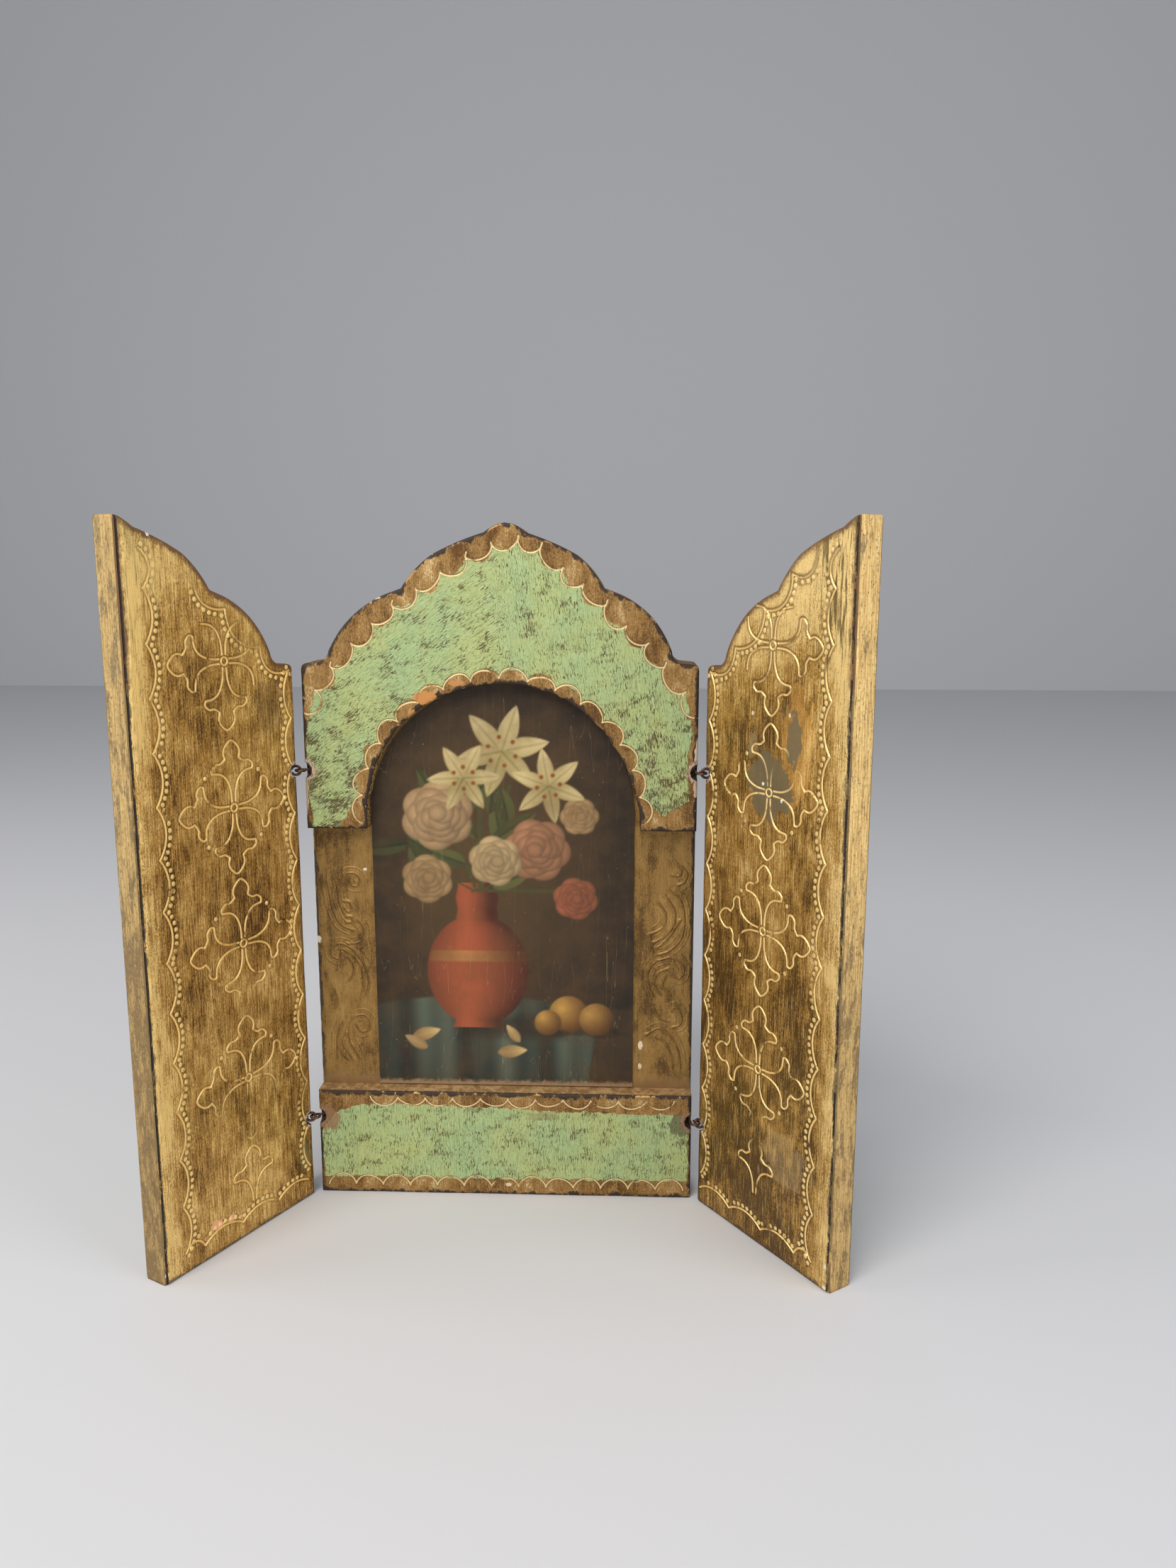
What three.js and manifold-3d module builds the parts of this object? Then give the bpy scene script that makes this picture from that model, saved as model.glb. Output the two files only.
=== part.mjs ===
// A small folding triptych of gilded wood: a centre panel under a crested outline, two wings that
// close over its front, and linked wire eyes as hinges. Millimetres, +Z up, the front faces -Y, and
// the origin is in the middle of the centre panel's underside.
import * as THREE from 'three';
import { mergeVertices } from 'three/addons/utils/BufferGeometryUtils.js';
import Module from 'manifold-3d';

const wasm = await Module();
wasm.setup();

// ---- centre panel
const panelWidth = 100;
const boardThickness = 7.25;            // the back board, and each wing
const overlayThickness = 5;             // the arch board and the foot board
const archFoot = 101.25;                // underside of the arch board
const ledgeHeight = 29.25;              // top of the foot board
const edgeRound = 0.7;                  // worn arrises
const crownLean = 1.9;                  // the hand-cut crown leans this far to the right

const halfWidth = panelWidth / 2;
const frontY = -(boardThickness + overlayThickness) / 2;
const glueY = frontY + overlayThickness;
const backY = glueY + boardThickness;

// The crest from the side edge to the peak: how far out from the middle, how high, how far the arc
// that leads there rises outwards, and how many chords that arc has.
const shoulderHeight = 143.75;
const peakHeight = 178.25;
const crest = [
  { out: halfWidth, height: shoulderHeight - 1.5, rise: 0, chords: 1 },
  { out: halfWidth - 1.5, height: shoulderHeight, rise: 0.45, chords: 2 },   // rounded shoulder corner
  { out: 45.4, height: shoulderHeight + 0.25, rise: 0, chords: 1 },          // flat shoulder
  { out: 43, height: 146.9, rise: -0.6, chords: 2 },                         // small cove
  { out: 29, height: 160.9, rise: 2, chords: 6 },                            // lower lobe
  { out: 25.2, height: 162.3, rise: 0, chords: 1 },                          // step between the lobes
  { out: 17.8, height: 170.6, rise: 0.6, chords: 3 },                        // upper lobe, steep part
  { out: 5.2, height: 175.9, rise: 0.35, chords: 3 },                        // upper lobe, long slope
  { out: 1.8, height: 178, rise: 0.1, chords: 2 },                           // side of the peak
  { out: 0, height: peakHeight, rise: 0, chords: 1 },                        // blunt top
];

// ---- arch opening and the print behind it
const archRadius = 34.6;
const archSpring = 104.15;
const archChords = 26;
const printRadius = 34.25;              // also half its width
const printFoot = 29.75;
const printThickness = 0.5;
const printChords = 20;

// ---- wings
const wingWidth = 49.7;
const hingeGap = 2;                     // between panel and wing when the wing lies flat open
const closedClearance = 0.5;            // between the closed wing and the panel's front
const leftOpening = 61.3;               // degrees each wing is folded forward from flat
const rightOpening = 55.2;

// ---- wire eyes
const wireRadius = 0.35;
const eyeRadius = 1.15;                 // to the middle of the wire
const shankLength = 6.5;                // from the middle of the eye
const drillRadius = 1;                  // the holes are wide for the wire
const drillSpare = 0.3;                 // how far a hole runs on past its shank
const pocketRadius = 2;                 // wood dug away round each eye
const pocketReach = 3;                  // how far forward of its middle the pocket is open
const eyeHeights = { lower: 22, upper: 116.5 };

// ---- tooled lines, pressed into the gilding
const toolWidth = 0.7;
const toolDepth = 0.3;
const archScallop = { pitch: 7.4, inset: 4, depth: 2.8, startAboveFoot: 25 };
const footScallop = { margin: 2, lowInset: 2.2, lowDepth: 3, highInset: 1.3, highDepth: 2.4 };
const wingScallop = {
  pitch: 12, freeInset: 6, hingeInset: 1.2, footInset: 4.2, crestInset: 4.4, depth: 2.4,
};
const flowerPitch = 34.7;
const flowerRing = 1.1;
const leftFlowers = { across: 21, lowest: 41.6 };       // the column's place on each wing
const rightFlowers = { across: 23.4, lowest: 46 };

// ---- colours
const gilding = { color: 0x9a7438, roughness: 0.5, metalness: 0.55 };
const paintedGreen = { color: 0xa3ba7d, roughness: 0.75, metalness: 0 };
const printedPaper = { color: 0x4a3d2a, roughness: 0.45, metalness: 0 };
const oldWire = { color: 0x4a3626, roughness: 0.55, metalness: 0.7 };

const triptych = new THREE.Group();

// ---- plane curves, as lists of Vector2 (across, up)

// The points after a on the arc from a to b that rises to the right of the way from a to b.
function arcTo(a, b, rise, chords) {
  if (rise === 0) return [b.clone()];
  const along = b.clone().sub(a);
  const chord = along.length();
  along.normalize();
  const outward = new THREE.Vector2(along.y, -along.x);
  const radius = (chord * chord / 4 + rise * rise) / (2 * rise);
  const centre = a.clone().add(b).multiplyScalar(0.5).addScaledVector(outward, rise - radius);
  const halfAngle = 2 * Math.atan(2 * rise / chord);
  return Array.from({ length: chords }, (_, i) => {
    const angle = halfAngle * (2 * (i + 1) / chords - 1);
    return centre.clone()
      .addScaledVector(outward, radius * Math.cos(angle))
      .addScaledVector(along, radius * Math.sin(angle));
  });
}

// The crest on one side (-1 left, 1 right), from the side edge up to the peak or to `innermost`.
function crestPoints(side, lean, innermost = 0) {
  const points = [new THREE.Vector2(crest[0].out, crest[0].height)];
  for (const { out, height, rise, chords } of crest.slice(1)) {
    const target = new THREE.Vector2(Math.max(out, innermost), height);
    points.push(...arcTo(points.at(-1), target, rise, chords));
  }
  for (const p of points) {
    const climb = Math.max(0, (p.y - shoulderHeight) / (peakHeight - shoulderHeight));
    p.x = side * p.x + lean * climb;
  }
  return points;
}

function wholeCrest() {
  const left = crestPoints(-1, crownLean);
  const right = crestPoints(1, crownLean).reverse();
  return [...left, ...right.slice(1)];
}

// A round arch from its left springing to its right one, with the feet `foot` high.
function archLine(radius, springHeight, foot, chords) {
  const points = [new THREE.Vector2(-radius, foot)];
  for (let i = 0; i <= chords; i++) {
    const angle = Math.PI * (1 - i / chords);
    points.push(new THREE.Vector2(radius * Math.cos(angle), springHeight + radius * Math.sin(angle)));
  }
  points.push(new THREE.Vector2(radius, foot));
  return points;
}

// A row of arcs along straight stretches between corners, each arc bulging to the right of the way.
function scallops(corners, pitch, depth, chords) {
  const points = [corners[0].clone()];
  for (let i = 1; i < corners.length; i++) {
    const length = corners[i].distanceTo(corners[i - 1]);
    const count = Math.max(1, Math.round(length / pitch));
    for (let k = 1; k <= count; k++) {
      const cusp = corners[i - 1].clone().lerp(corners[i], k / count);
      points.push(...arcTo(points.at(-1), cusp, depth * length / (count * pitch), chords));
    }
  }
  return points;
}

// Points at even steps along a line.
function evenly(points, step) {
  const lengths = [0];
  for (let i = 1; i < points.length; i++) {
    lengths.push(lengths[i - 1] + points[i].distanceTo(points[i - 1]));
  }
  const count = Math.round(lengths.at(-1) / step);
  return Array.from({ length: count + 1 }, (_, k) => {
    const at = lengths.at(-1) * k / count;
    const i = Math.max(1, lengths.findIndex((s) => s >= at - 1e-9));
    return points[i - 1].clone().lerp(points[i], (at - lengths[i - 1]) / (lengths[i] - lengths[i - 1]));
  });
}

// The line moved sideways, to the right of its way.
function offsetLine(points, distance) {
  return points.map((p, i) => {
    const before = points[Math.max(0, i - 1)];
    const after = points[Math.min(points.length - 1, i + 1)];
    const way = after.clone().sub(before).normalize();
    return p.clone().add(new THREE.Vector2(way.y, -way.x).multiplyScalar(distance));
  });
}

// ---- solids

// Coordinates are put on a fine binary grid, so that faces that should be level with each other are.
function toSolid(geometry) {
  const gridSteps = 1024;
  const bare = geometry.clone();
  bare.deleteAttribute('normal');
  bare.deleteAttribute('uv');
  const coordinates = bare.attributes.position.array;
  coordinates.forEach((value, i) => {
    coordinates[i] = Math.round(value * gridSteps) / gridSteps;
  });
  const merged = mergeVertices(bare, 1e-4);
  return new wasm.Manifold(new wasm.Mesh({
    numProp: 3,
    vertProperties: new Float32Array(merged.attributes.position.array),
    triVerts: new Uint32Array(merged.index.array),
  }));
}

function toGeometry(solid) {
  const { vertProperties, triVerts } = solid.getMesh();
  const geometry = new THREE.BufferGeometry();
  geometry.setAttribute('position', new THREE.BufferAttribute(vertProperties, 3));
  geometry.setIndex(new THREE.BufferAttribute(triVerts, 1));
  const flat = geometry.toNonIndexed();
  flat.computeVertexNormals();
  return flat;
}

function addPiece(name, solid, finish, group = triptych) {
  const mesh = new THREE.Mesh(toGeometry(solid), new THREE.MeshStandardMaterial(finish));
  mesh.name = name;
  group.add(mesh);
}

// A board of the outline between two planes, with its arrises rounded.
function boardSolid(outline, front, back, round = edgeRound) {
  const geometry = new THREE.ExtrudeGeometry(new THREE.Shape(outline), {
    depth: back - front - 2 * round,
    bevelEnabled: true,
    bevelThickness: round,
    bevelSize: round,
    bevelOffset: -round,
    bevelSegments: 1,
  });
  geometry.rotateX(Math.PI / 2);
  geometry.translate(0, back - round, 0);
  return toSolid(geometry);
}

// A board glued on another: only its front arrises are rounded.
function overlaySolid(outline) {
  const spare = 2;
  const board = boardSolid(outline, frontY, glueY + spare);
  const behind = new THREE.BoxGeometry(2 * panelWidth, 2 * spare, 2 * peakHeight);
  behind.translate(0, glueY + spare, peakHeight);
  return board.subtract(toSolid(behind));
}

// V-grooves along separate lines on the face at y = face, as one cutter.
function grooveCutter(lines, face) {
  const half = toolWidth / 2;
  const sharpest = 0.45;                // limits how far a corner's mitre reaches
  const position = [];
  const index = [];
  for (const line of lines) {
    const base = position.length / 3;
    const ways = line.slice(1).map((p, i) => p.clone().sub(line[i]).normalize());
    line.forEach((p, i) => {
      const before = ways[Math.max(0, i - 1)];
      const after = ways[Math.min(ways.length - 1, i)];
      const way = before.clone().add(after).normalize();
      const reach = half / Math.max(sharpest, way.dot(after));
      const side = new THREE.Vector2(-way.y, way.x).multiplyScalar(reach);
      position.push(p.x + side.x, face, p.y + side.y);
      position.push(p.x - side.x, face, p.y - side.y);
      position.push(p.x, face + toolDepth, p.y);
    });
    for (let i = 0; i < line.length - 1; i++) {
      for (const [u, v] of [[0, 1], [1, 2], [2, 0]]) {
        const [a, b, c, d] = [u, v, v + 3, u + 3].map((k) => base + 3 * i + k);
        index.push(a, b, c, a, c, d);
      }
    }
    const last = base + 3 * (line.length - 1);
    index.push(base, base + 2, base + 1, last, last + 1, last + 2);
  }
  const geometry = new THREE.BufferGeometry();
  geometry.setAttribute('position', new THREE.Float32BufferAttribute(position, 3));
  geometry.setIndex(index);
  return toSolid(geometry);
}

// ---- the flower on the wings: four arms round a ring, each arm a stem that flares into three lobes

function armLines(stemsOnly) {
  const tip = new THREE.Vector2(5.6, 8.8);
  const stem = new THREE.CubicBezierCurve(
    new THREE.Vector2(0.75, 2.3), new THREE.Vector2(0.8, 6.5), new THREE.Vector2(1.6, 8.6), tip);
  const sideLobe = new THREE.QuadraticBezierCurve(
    new THREE.Vector2(6.2, 9.9), new THREE.Vector2(5.9, 12.3), new THREE.Vector2(3, 12));
  const topLobe = new THREE.CubicBezierCurve(
    new THREE.Vector2(-1.9, 12.7), new THREE.Vector2(-2, 17.3), new THREE.Vector2(2, 17.3),
    new THREE.Vector2(1.9, 12.7));
  const half = stemsOnly ? [stem.getPoints(3)] : [stem.getPoints(3), sideLobe.getPoints(2)];
  const mirrored = half.map((line) => line.map((p) => new THREE.Vector2(-p.x, p.y)));
  return stemsOnly ? [...half, ...mirrored] : [...half, ...mirrored, topLobe.getPoints(4)];
}

// Arms by quarter turns: 0 up, 1 towards the hinge, 2 down, 3 towards the free edge.
function flowerLines(across, up, arms, stems = []) {
  const place = (line, turn) => line.map((p) => {
    const q = p.clone().rotateAround(new THREE.Vector2(), turn * Math.PI / 2);
    return new THREE.Vector2(across + q.x, up + q.y);
  });
  const ringSides = 6;
  const ring = Array.from({ length: ringSides + 1 }, (_, i) => {
    const angle = (i / ringSides) * 0.96 * 2 * Math.PI;
    return new THREE.Vector2(across + flowerRing * Math.cos(angle), up + flowerRing * Math.sin(angle));
  });
  return [
    ...arms.flatMap((turn) => armLines(false).map((line) => place(line, turn))),
    ...stems.flatMap((turn) => armLines(true).map((line) => place(line, turn))),
    ...(arms.includes(2) ? [ring] : []),
  ];
}

// ---- wire eyes: a ring round `centre` with a shank along `way`; a level ring or an upright one

function eyeSolid(centre, way, upright) {
  const ring = new THREE.TorusGeometry(eyeRadius, wireRadius, 6, 12);
  if (upright) {
    ring.rotateX(Math.PI / 2);
    ring.rotateZ(Math.atan2(way.y, way.x));
  }
  const shank = new THREE.CylinderGeometry(wireRadius, wireRadius, shankLength - eyeRadius, 6);
  shank.rotateX(Math.PI / 2);
  shank.translate(0, 0, (shankLength + eyeRadius) / 2);
  shank.applyQuaternion(new THREE.Quaternion().setFromUnitVectors(new THREE.Vector3(0, 0, 1), way));
  return toSolid(ring.translate(...centre)).add(toSolid(shank.translate(...centre)));
}

// The round-bottomed pocket, dug in from the front beside the hinge axis, and the drilled hole.
function eyeCutter(axisPoint, way) {
  const middle = axisPoint.clone().addScaledVector(way, eyeRadius);
  const pocket = new THREE.CapsuleGeometry(pocketRadius, pocketReach, 2, 10);
  pocket.translate(0, -pocketReach / 2, 0);
  const drilled = shankLength + drillSpare;
  const hole = new THREE.CylinderGeometry(drillRadius, drillRadius, drilled, 8);
  hole.rotateX(Math.PI / 2);
  hole.translate(0, 0, drilled / 2);
  hole.applyQuaternion(new THREE.Quaternion().setFromUnitVectors(new THREE.Vector3(0, 0, 1), way));
  return toSolid(pocket.translate(...middle)).add(toSolid(hole.translate(...middle)));
}

const hingeOut = halfWidth + hingeGap / 2;
const hingeY = frontY - closedClearance / 2;

// Centre panel eyes lie level round the hinge axis; their shanks run back into the panel's corner.
const panelCutters = [];
for (const [sideName, side] of [['left', -1], ['right', 1]]) {
  const way = new THREE.Vector3(-side, 1, 0).normalize();
  for (const [level, height] of Object.entries(eyeHeights)) {
    const axisPoint = new THREE.Vector3(side * hingeOut, hingeY, height);
    panelCutters.push(eyeCutter(axisPoint, way));
    addPiece(`eye_centre_${sideName}_${level}`, eyeSolid(axisPoint, way, false), oldWire);
  }
}
const cutForEyes = (solid, cutters) => cutters.reduce((rest, cutter) => rest.subtract(cutter), solid);

// ---- centre panel boards

function backBoard() {
  const outline = [
    new THREE.Vector2(-halfWidth, 0), ...wholeCrest(), new THREE.Vector2(halfWidth, 0),
  ];
  return cutForEyes(boardSolid(outline, glueY, backY), panelCutters);
}

function archFront() {
  const opening = archLine(archRadius, archSpring, archFoot, archChords);
  const outline = [
    new THREE.Vector2(-halfWidth, archFoot), ...wholeCrest(), new THREE.Vector2(halfWidth, archFoot),
    ...opening.slice().reverse(),
  ];
  const { pitch, inset, depth, startAboveFoot } = archScallop;
  const side = new THREE.Vector2(-halfWidth, archFoot + startAboveFoot);
  const otherSide = new THREE.Vector2(halfWidth, archFoot + startAboveFoot);
  const outer = offsetLine(evenly([side, ...wholeCrest(), otherSide], pitch), inset);
  const rim = archLine(archRadius + 1, archSpring, archSpring - 1, archChords);
  const inner = evenly(rim, pitch).reverse();
  const lines = [scallops(outer, pitch, depth, 2), scallops(inner, pitch, depth, 2)];
  return cutForEyes(overlaySolid(outline).subtract(grooveCutter(lines, frontY)), panelCutters);
}

function baseFront() {
  const outline = [[-1, 0], [-1, 1], [1, 1], [1, 0]].map(
    ([side, top]) => new THREE.Vector2(side * halfWidth, top * ledgeHeight));
  const { margin, lowInset, lowDepth, highInset, highDepth } = footScallop;
  const row = (height, way) => [-way, way].map((s) => new THREE.Vector2(s * (halfWidth - margin), height));
  const lines = [
    scallops(row(lowInset, -1), archScallop.pitch, lowDepth, 2),
    scallops(row(ledgeHeight - highInset, 1), archScallop.pitch, highDepth, 2),
  ];
  return cutForEyes(overlaySolid(outline).subtract(grooveCutter(lines, frontY)), panelCutters);
}

function printSheet() {
  const outline = archLine(printRadius, archSpring, archSpring, printChords);
  outline.push(new THREE.Vector2(printRadius, printFoot), new THREE.Vector2(-printRadius, printFoot));
  const sheet = new THREE.ExtrudeGeometry(new THREE.Shape(outline), {
    depth: printThickness, bevelEnabled: false,
  });
  sheet.rotateX(Math.PI / 2);
  sheet.translate(0, glueY, 0);
  return toSolid(sheet);
}

addPiece('back_board', backBoard(), gilding);
addPiece('arch_front', archFront(), paintedGreen);
addPiece('base_front', baseFront(), paintedGreen);
addPiece('picture', printSheet(), printedPaper);

// ---- wings, each built flat open beside the panel, in a group that turns about its hinge axis

function addWing(sideName, side, opening, flowers) {
  const hinge = new THREE.Group();
  hinge.position.set(side * hingeOut, hingeY, 0);
  hinge.rotation.z = THREE.MathUtils.degToRad(-side * opening);
  triptych.add(hinge);

  const innerFace = closedClearance / 2;
  const nearEdge = hingeGap / 2;
  const freeEdge = nearEdge + wingWidth;
  const crestHere = crestPoints(1, 0, halfWidth - wingWidth).map(
    (p) => new THREE.Vector2(side * (nearEdge + halfWidth - p.x), p.y));
  const outline = [
    new THREE.Vector2(side * nearEdge, 0), ...crestHere, new THREE.Vector2(side * freeEdge, 0),
  ];

  const { pitch, freeInset, hingeInset, footInset, crestInset, depth } = wingScallop;
  const crestBorder = offsetLine(evenly(crestHere.slice(4), pitch), side * crestInset).slice(1, -1);
  const border = [
    new THREE.Vector2(side * (freeEdge - freeInset), peakHeight - 7),
    ...crestBorder.reverse(),
    new THREE.Vector2(side * (nearEdge + hingeInset), shoulderHeight - crestInset),
    new THREE.Vector2(side * (nearEdge + hingeInset), footInset),
    new THREE.Vector2(side * (freeEdge - freeInset), footInset),
    new THREE.Vector2(side * (freeEdge - freeInset), peakHeight - 9),
  ];
  const lines = [scallops(border, pitch, -side * depth, 2)];
  const towardsHinge = side > 0 ? 1 : 3;
  const towardsFree = 4 - towardsHinge;
  const flowersAt = side * (nearEdge + flowers.across);
  for (let row = 0; row < 4; row++) {
    const top = row === 3;
    const arms = top ? [2, towardsFree] : [0, 1, 2, 3];
    const height = flowers.lowest + row * flowerPitch;
    lines.push(...flowerLines(flowersAt, height, arms, top ? [0, towardsHinge] : []));
  }
  lines.push(...flowerLines(flowersAt, flowers.lowest - flowerPitch, [0]));

  const wire = new THREE.Vector3(side, 1, 0).normalize();
  let board = boardSolid(outline, innerFace, innerFace + boardThickness);
  board = board.subtract(grooveCutter(lines, innerFace));
  for (const [level, height] of Object.entries(eyeHeights)) {
    const axisPoint = new THREE.Vector3(0, 0, height);
    const centre = axisPoint.clone().addScaledVector(wire, eyeRadius);
    board = board.subtract(eyeCutter(axisPoint, wire));
    addPiece(`eye_wing_${sideName}_${level}`, eyeSolid(centre, wire, true), oldWire, hinge);
  }
  addPiece(`wing_${sideName}`, board, gilding, hinge);
}

addWing('left', -1, leftOpening, leftFlowers);
addWing('right', 1, rightOpening, rightFlowers);

export default triptych;
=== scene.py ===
import math

import bpy
import numpy as np
from mathutils import Matrix, Vector, geometry, kdtree


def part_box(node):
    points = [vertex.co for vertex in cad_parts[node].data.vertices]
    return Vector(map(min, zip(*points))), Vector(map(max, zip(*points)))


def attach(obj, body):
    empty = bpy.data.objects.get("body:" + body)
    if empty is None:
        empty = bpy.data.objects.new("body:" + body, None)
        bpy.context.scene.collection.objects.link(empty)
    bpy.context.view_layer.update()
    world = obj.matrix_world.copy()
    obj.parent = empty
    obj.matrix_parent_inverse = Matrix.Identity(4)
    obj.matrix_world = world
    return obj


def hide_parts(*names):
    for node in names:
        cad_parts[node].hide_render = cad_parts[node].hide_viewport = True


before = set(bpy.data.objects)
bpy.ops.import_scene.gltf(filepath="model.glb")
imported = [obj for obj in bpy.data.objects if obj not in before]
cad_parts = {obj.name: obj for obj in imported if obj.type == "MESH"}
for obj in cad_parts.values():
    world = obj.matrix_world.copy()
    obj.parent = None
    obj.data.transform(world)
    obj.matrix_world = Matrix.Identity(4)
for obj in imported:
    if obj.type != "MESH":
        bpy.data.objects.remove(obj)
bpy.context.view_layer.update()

# ---- The back board.
# A plank of poplar cut to the crested outline, gessoed, gilded and toned brown. Low acanthus scrolls
# are pressed into the two strips of it that show beside the print; its back is left plain.
MM = 0.001
panel_low, panel_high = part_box("back_board")
foot_low, foot_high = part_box("base_front")
half_width, back_y, peak_height = (reach / MM for reach in panel_high)
ledge_height = foot_high.z / MM
front_y = foot_low.y / MM
glue_y = panel_low.y / MM
arris = 0.7
crown_lean = 1.9
shoulder_height = 143.75
crest_shape = [  # how far out, how high, and how far the arc that leads there swells outwards
    (half_width, shoulder_height - 1.5, 0),
    (half_width - 1.5, shoulder_height, 0.45),
    (45.4, shoulder_height + 0.25, 0),
    (43, 146.9, -0.6),
    (29, 160.9, 2),
    (25.2, 162.3, 0),
    (17.8, 170.6, 0.6),
    (5.2, 175.9, 0.35),
    (1.8, 178.0, 0.1),
    (0, peak_height, 0),
]


def bowed(a, b, swell, step=0.7):
    """The points after a on a shallow arc to b that swells to the right of the way."""
    a, b = np.array(a, float), np.array(b, float)
    way = b - a
    count = max(1, round(np.linalg.norm(way) / step))
    t = (np.arange(1, count + 1) / count)[:, None]
    outward = np.array([way[1], -way[0]]) / np.linalg.norm(way)
    return a + t * way + outward * (4 * swell * t * (1 - t))


def crest_line(side, lean=0.0, innermost=0.0):
    """The crest on one side, from the side edge up to the peak."""
    points = [np.array([crest_shape[0][:2]])]
    for out, height, swell in crest_shape[1:]:
        points.append(bowed(points[-1][-1], (max(out, innermost), height), swell))
    line = np.vstack(points)
    climb = np.clip((line[:, 1] - shoulder_height) / (peak_height - shoulder_height), 0, 1)
    line[:, 0] = side * line[:, 0] + lean * climb
    return line


def walk(corners):
    """Even steps along straight stretches between corners, the first corner included."""
    stretches = [bowed(a, b, 0) for a, b in zip(corners, corners[1:])]
    return np.vstack([np.array([corners[0]], float), *stretches])


def smooth_line(knots, step=0.3):
    """A Catmull-Rom curve through the knots."""
    k = np.array([knots[0], *knots, knots[-1]], float)
    parts = []
    for i in range(1, len(k) - 2):
        count = max(2, round(np.linalg.norm(k[i + 1] - k[i]) / step))
        t = (np.arange(count) / count)[:, None]
        parts.append(0.5 * (2 * k[i] + (k[i + 1] - k[i - 1]) * t
                            + (2 * k[i - 1] - 5 * k[i] + 4 * k[i + 1] - k[i + 2]) * t ** 2
                            + (3 * k[i] - k[i - 1] - 3 * k[i + 1] + k[i + 2]) * t ** 3))
    return np.vstack([*parts, k[-1:]])


def evenly(line, step):
    """Points at even steps along a line."""
    run = np.concatenate([[0], np.cumsum(np.linalg.norm(np.diff(line, axis=0), axis=1))])
    at = np.linspace(0, run[-1], max(2, round(run[-1] / step) + 1))
    return np.column_stack([np.interp(at, run, line[:, 0]), np.interp(at, run, line[:, 1])])


def sideways(line, distance):
    """The line moved to the right of its way."""
    way = np.gradient(line, axis=0)
    way /= np.maximum(np.linalg.norm(way, axis=1), 1e-9)[:, None]
    return line + distance * np.column_stack([way[:, 1], -way[:, 0]])


def closed(outline):
    return np.vstack([outline, outline[:1]])


def nearest(points, targets):
    """How far each point is from the nearest target."""
    tree = kdtree.KDTree(len(targets))
    for i, (x, z) in enumerate(targets):
        tree.insert((x, z, 0), i)
    tree.balance()
    return np.array([tree.find((x, z, 0))[2] for x, z in points])


def distance_to(points, lines):
    """How far each point is from the nearest of some lines."""
    return nearest(points, np.vstack([evenly(line, 0.12) for line in lines]))


def is_inside(points, outline):
    """Which points lie inside a closed outline."""
    inside = np.zeros(len(points), bool)
    x, z = points[:, 0], points[:, 1]
    for (x1, z1), (x2, z2) in zip(outline, np.roll(outline, -1, axis=0)):
        if z1 != z2:
            crosses = (z1 > z) != (z2 > z)
            inside ^= crosses & (x < x1 + (z - z1) * (x2 - x1) / (z2 - z1))
    return inside


def joined(points, extra, outline, room):
    """The points, and those extra ones in the outline that keep clear of them and of each other."""
    extra = extra[is_inside(extra, outline)]
    extra = extra[nearest(extra, points) > room]
    first = np.unique(np.round(extra / (0.8 * room)), axis=0, return_index=True)[1]
    return np.vstack([points, extra[np.sort(first)]])


def sheet(outline, lines=(), beads=(), cell=1.3, rings=(0.1, 0.25, 0.45, 0.7), seed=1):
    """Triangles over an outline, fine along tooled lines and beads. The outline's points come first."""
    loop = closed(outline)
    clockwise = np.sum(loop[:-1, 0] * loop[1:, 1] - loop[1:, 0] * loop[:-1, 1]) < 0
    outline = outline[::-1] if clockwise else outline
    loop = closed(outline)
    points = outline
    for ring in rings:
        ring_points = sideways(np.vstack([outline[-1:], loop]), -ring)[1:-1]
        ring_points = ring_points[is_inside(ring_points, outline)]
        ring_points = ring_points[distance_to(ring_points, [loop]) > 0.85 * ring]
        points = np.vstack([points, ring_points])
    if lines:
        for reach in (0.0, 0.2, -0.2, 0.42, -0.42, 0.68, -0.68):
            rows = np.vstack([sideways(evenly(line, 0.42), reach) for line in lines])
            points = joined(points, rows, outline, 0.13)
    if len(beads):
        turn = np.arange(6) * math.pi / 3
        circle = np.column_stack([np.cos(turn), np.sin(turn)])
        around = [(beads[:, None] + r * circle).reshape(-1, 2) for r in (0.3, 0.58, 0.74)]
        points = joined(points, np.vstack([beads, *around]), outline, 0.11)
    low, high = outline.min(0), outline.max(0)
    grid = np.meshgrid(np.arange(low[0], high[0], cell), np.arange(low[1], high[1], cell))
    grid = np.stack(grid, -1).reshape(-1, 2)
    grid = grid + np.random.default_rng(seed).uniform(-0.3, 0.3, grid.shape) * cell
    points = joined(points, grid, outline, 0.55 * cell)
    border = [(i, (i + 1) % len(outline)) for i in range(len(outline))]
    found = geometry.delaunay_2d_cdt([Vector(p) for p in points], border, [], 0, 1e-7, True)
    spots = np.array(found[0])
    triangles = np.array(found[2])
    triangles = triangles[is_inside(spots[triangles].mean(axis=1), outline)]
    order = np.argsort(np.array([origins[0] for origins in found[3]]))
    place = np.empty(len(spots), int)
    place[order] = np.arange(len(spots))
    return spots[order], place[triangles], len(outline)


def rounded(points, outline, radius=arris):
    """How far a worn arris falls away below the face."""
    short = np.clip(radius - distance_to(points, [closed(outline)]), 0, radius)
    return radius - np.sqrt(radius ** 2 - short ** 2)


def pressed(points, lines, width, depth):
    """Tooled lines: troughs with a slight lip thrown up beside them."""
    distance = distance_to(points, lines)
    lip = np.exp(-((distance - 2.1 * width) / (0.75 * width)) ** 2)
    return depth * np.exp(-(distance / width) ** 2) - 0.3 * depth * lip


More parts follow.
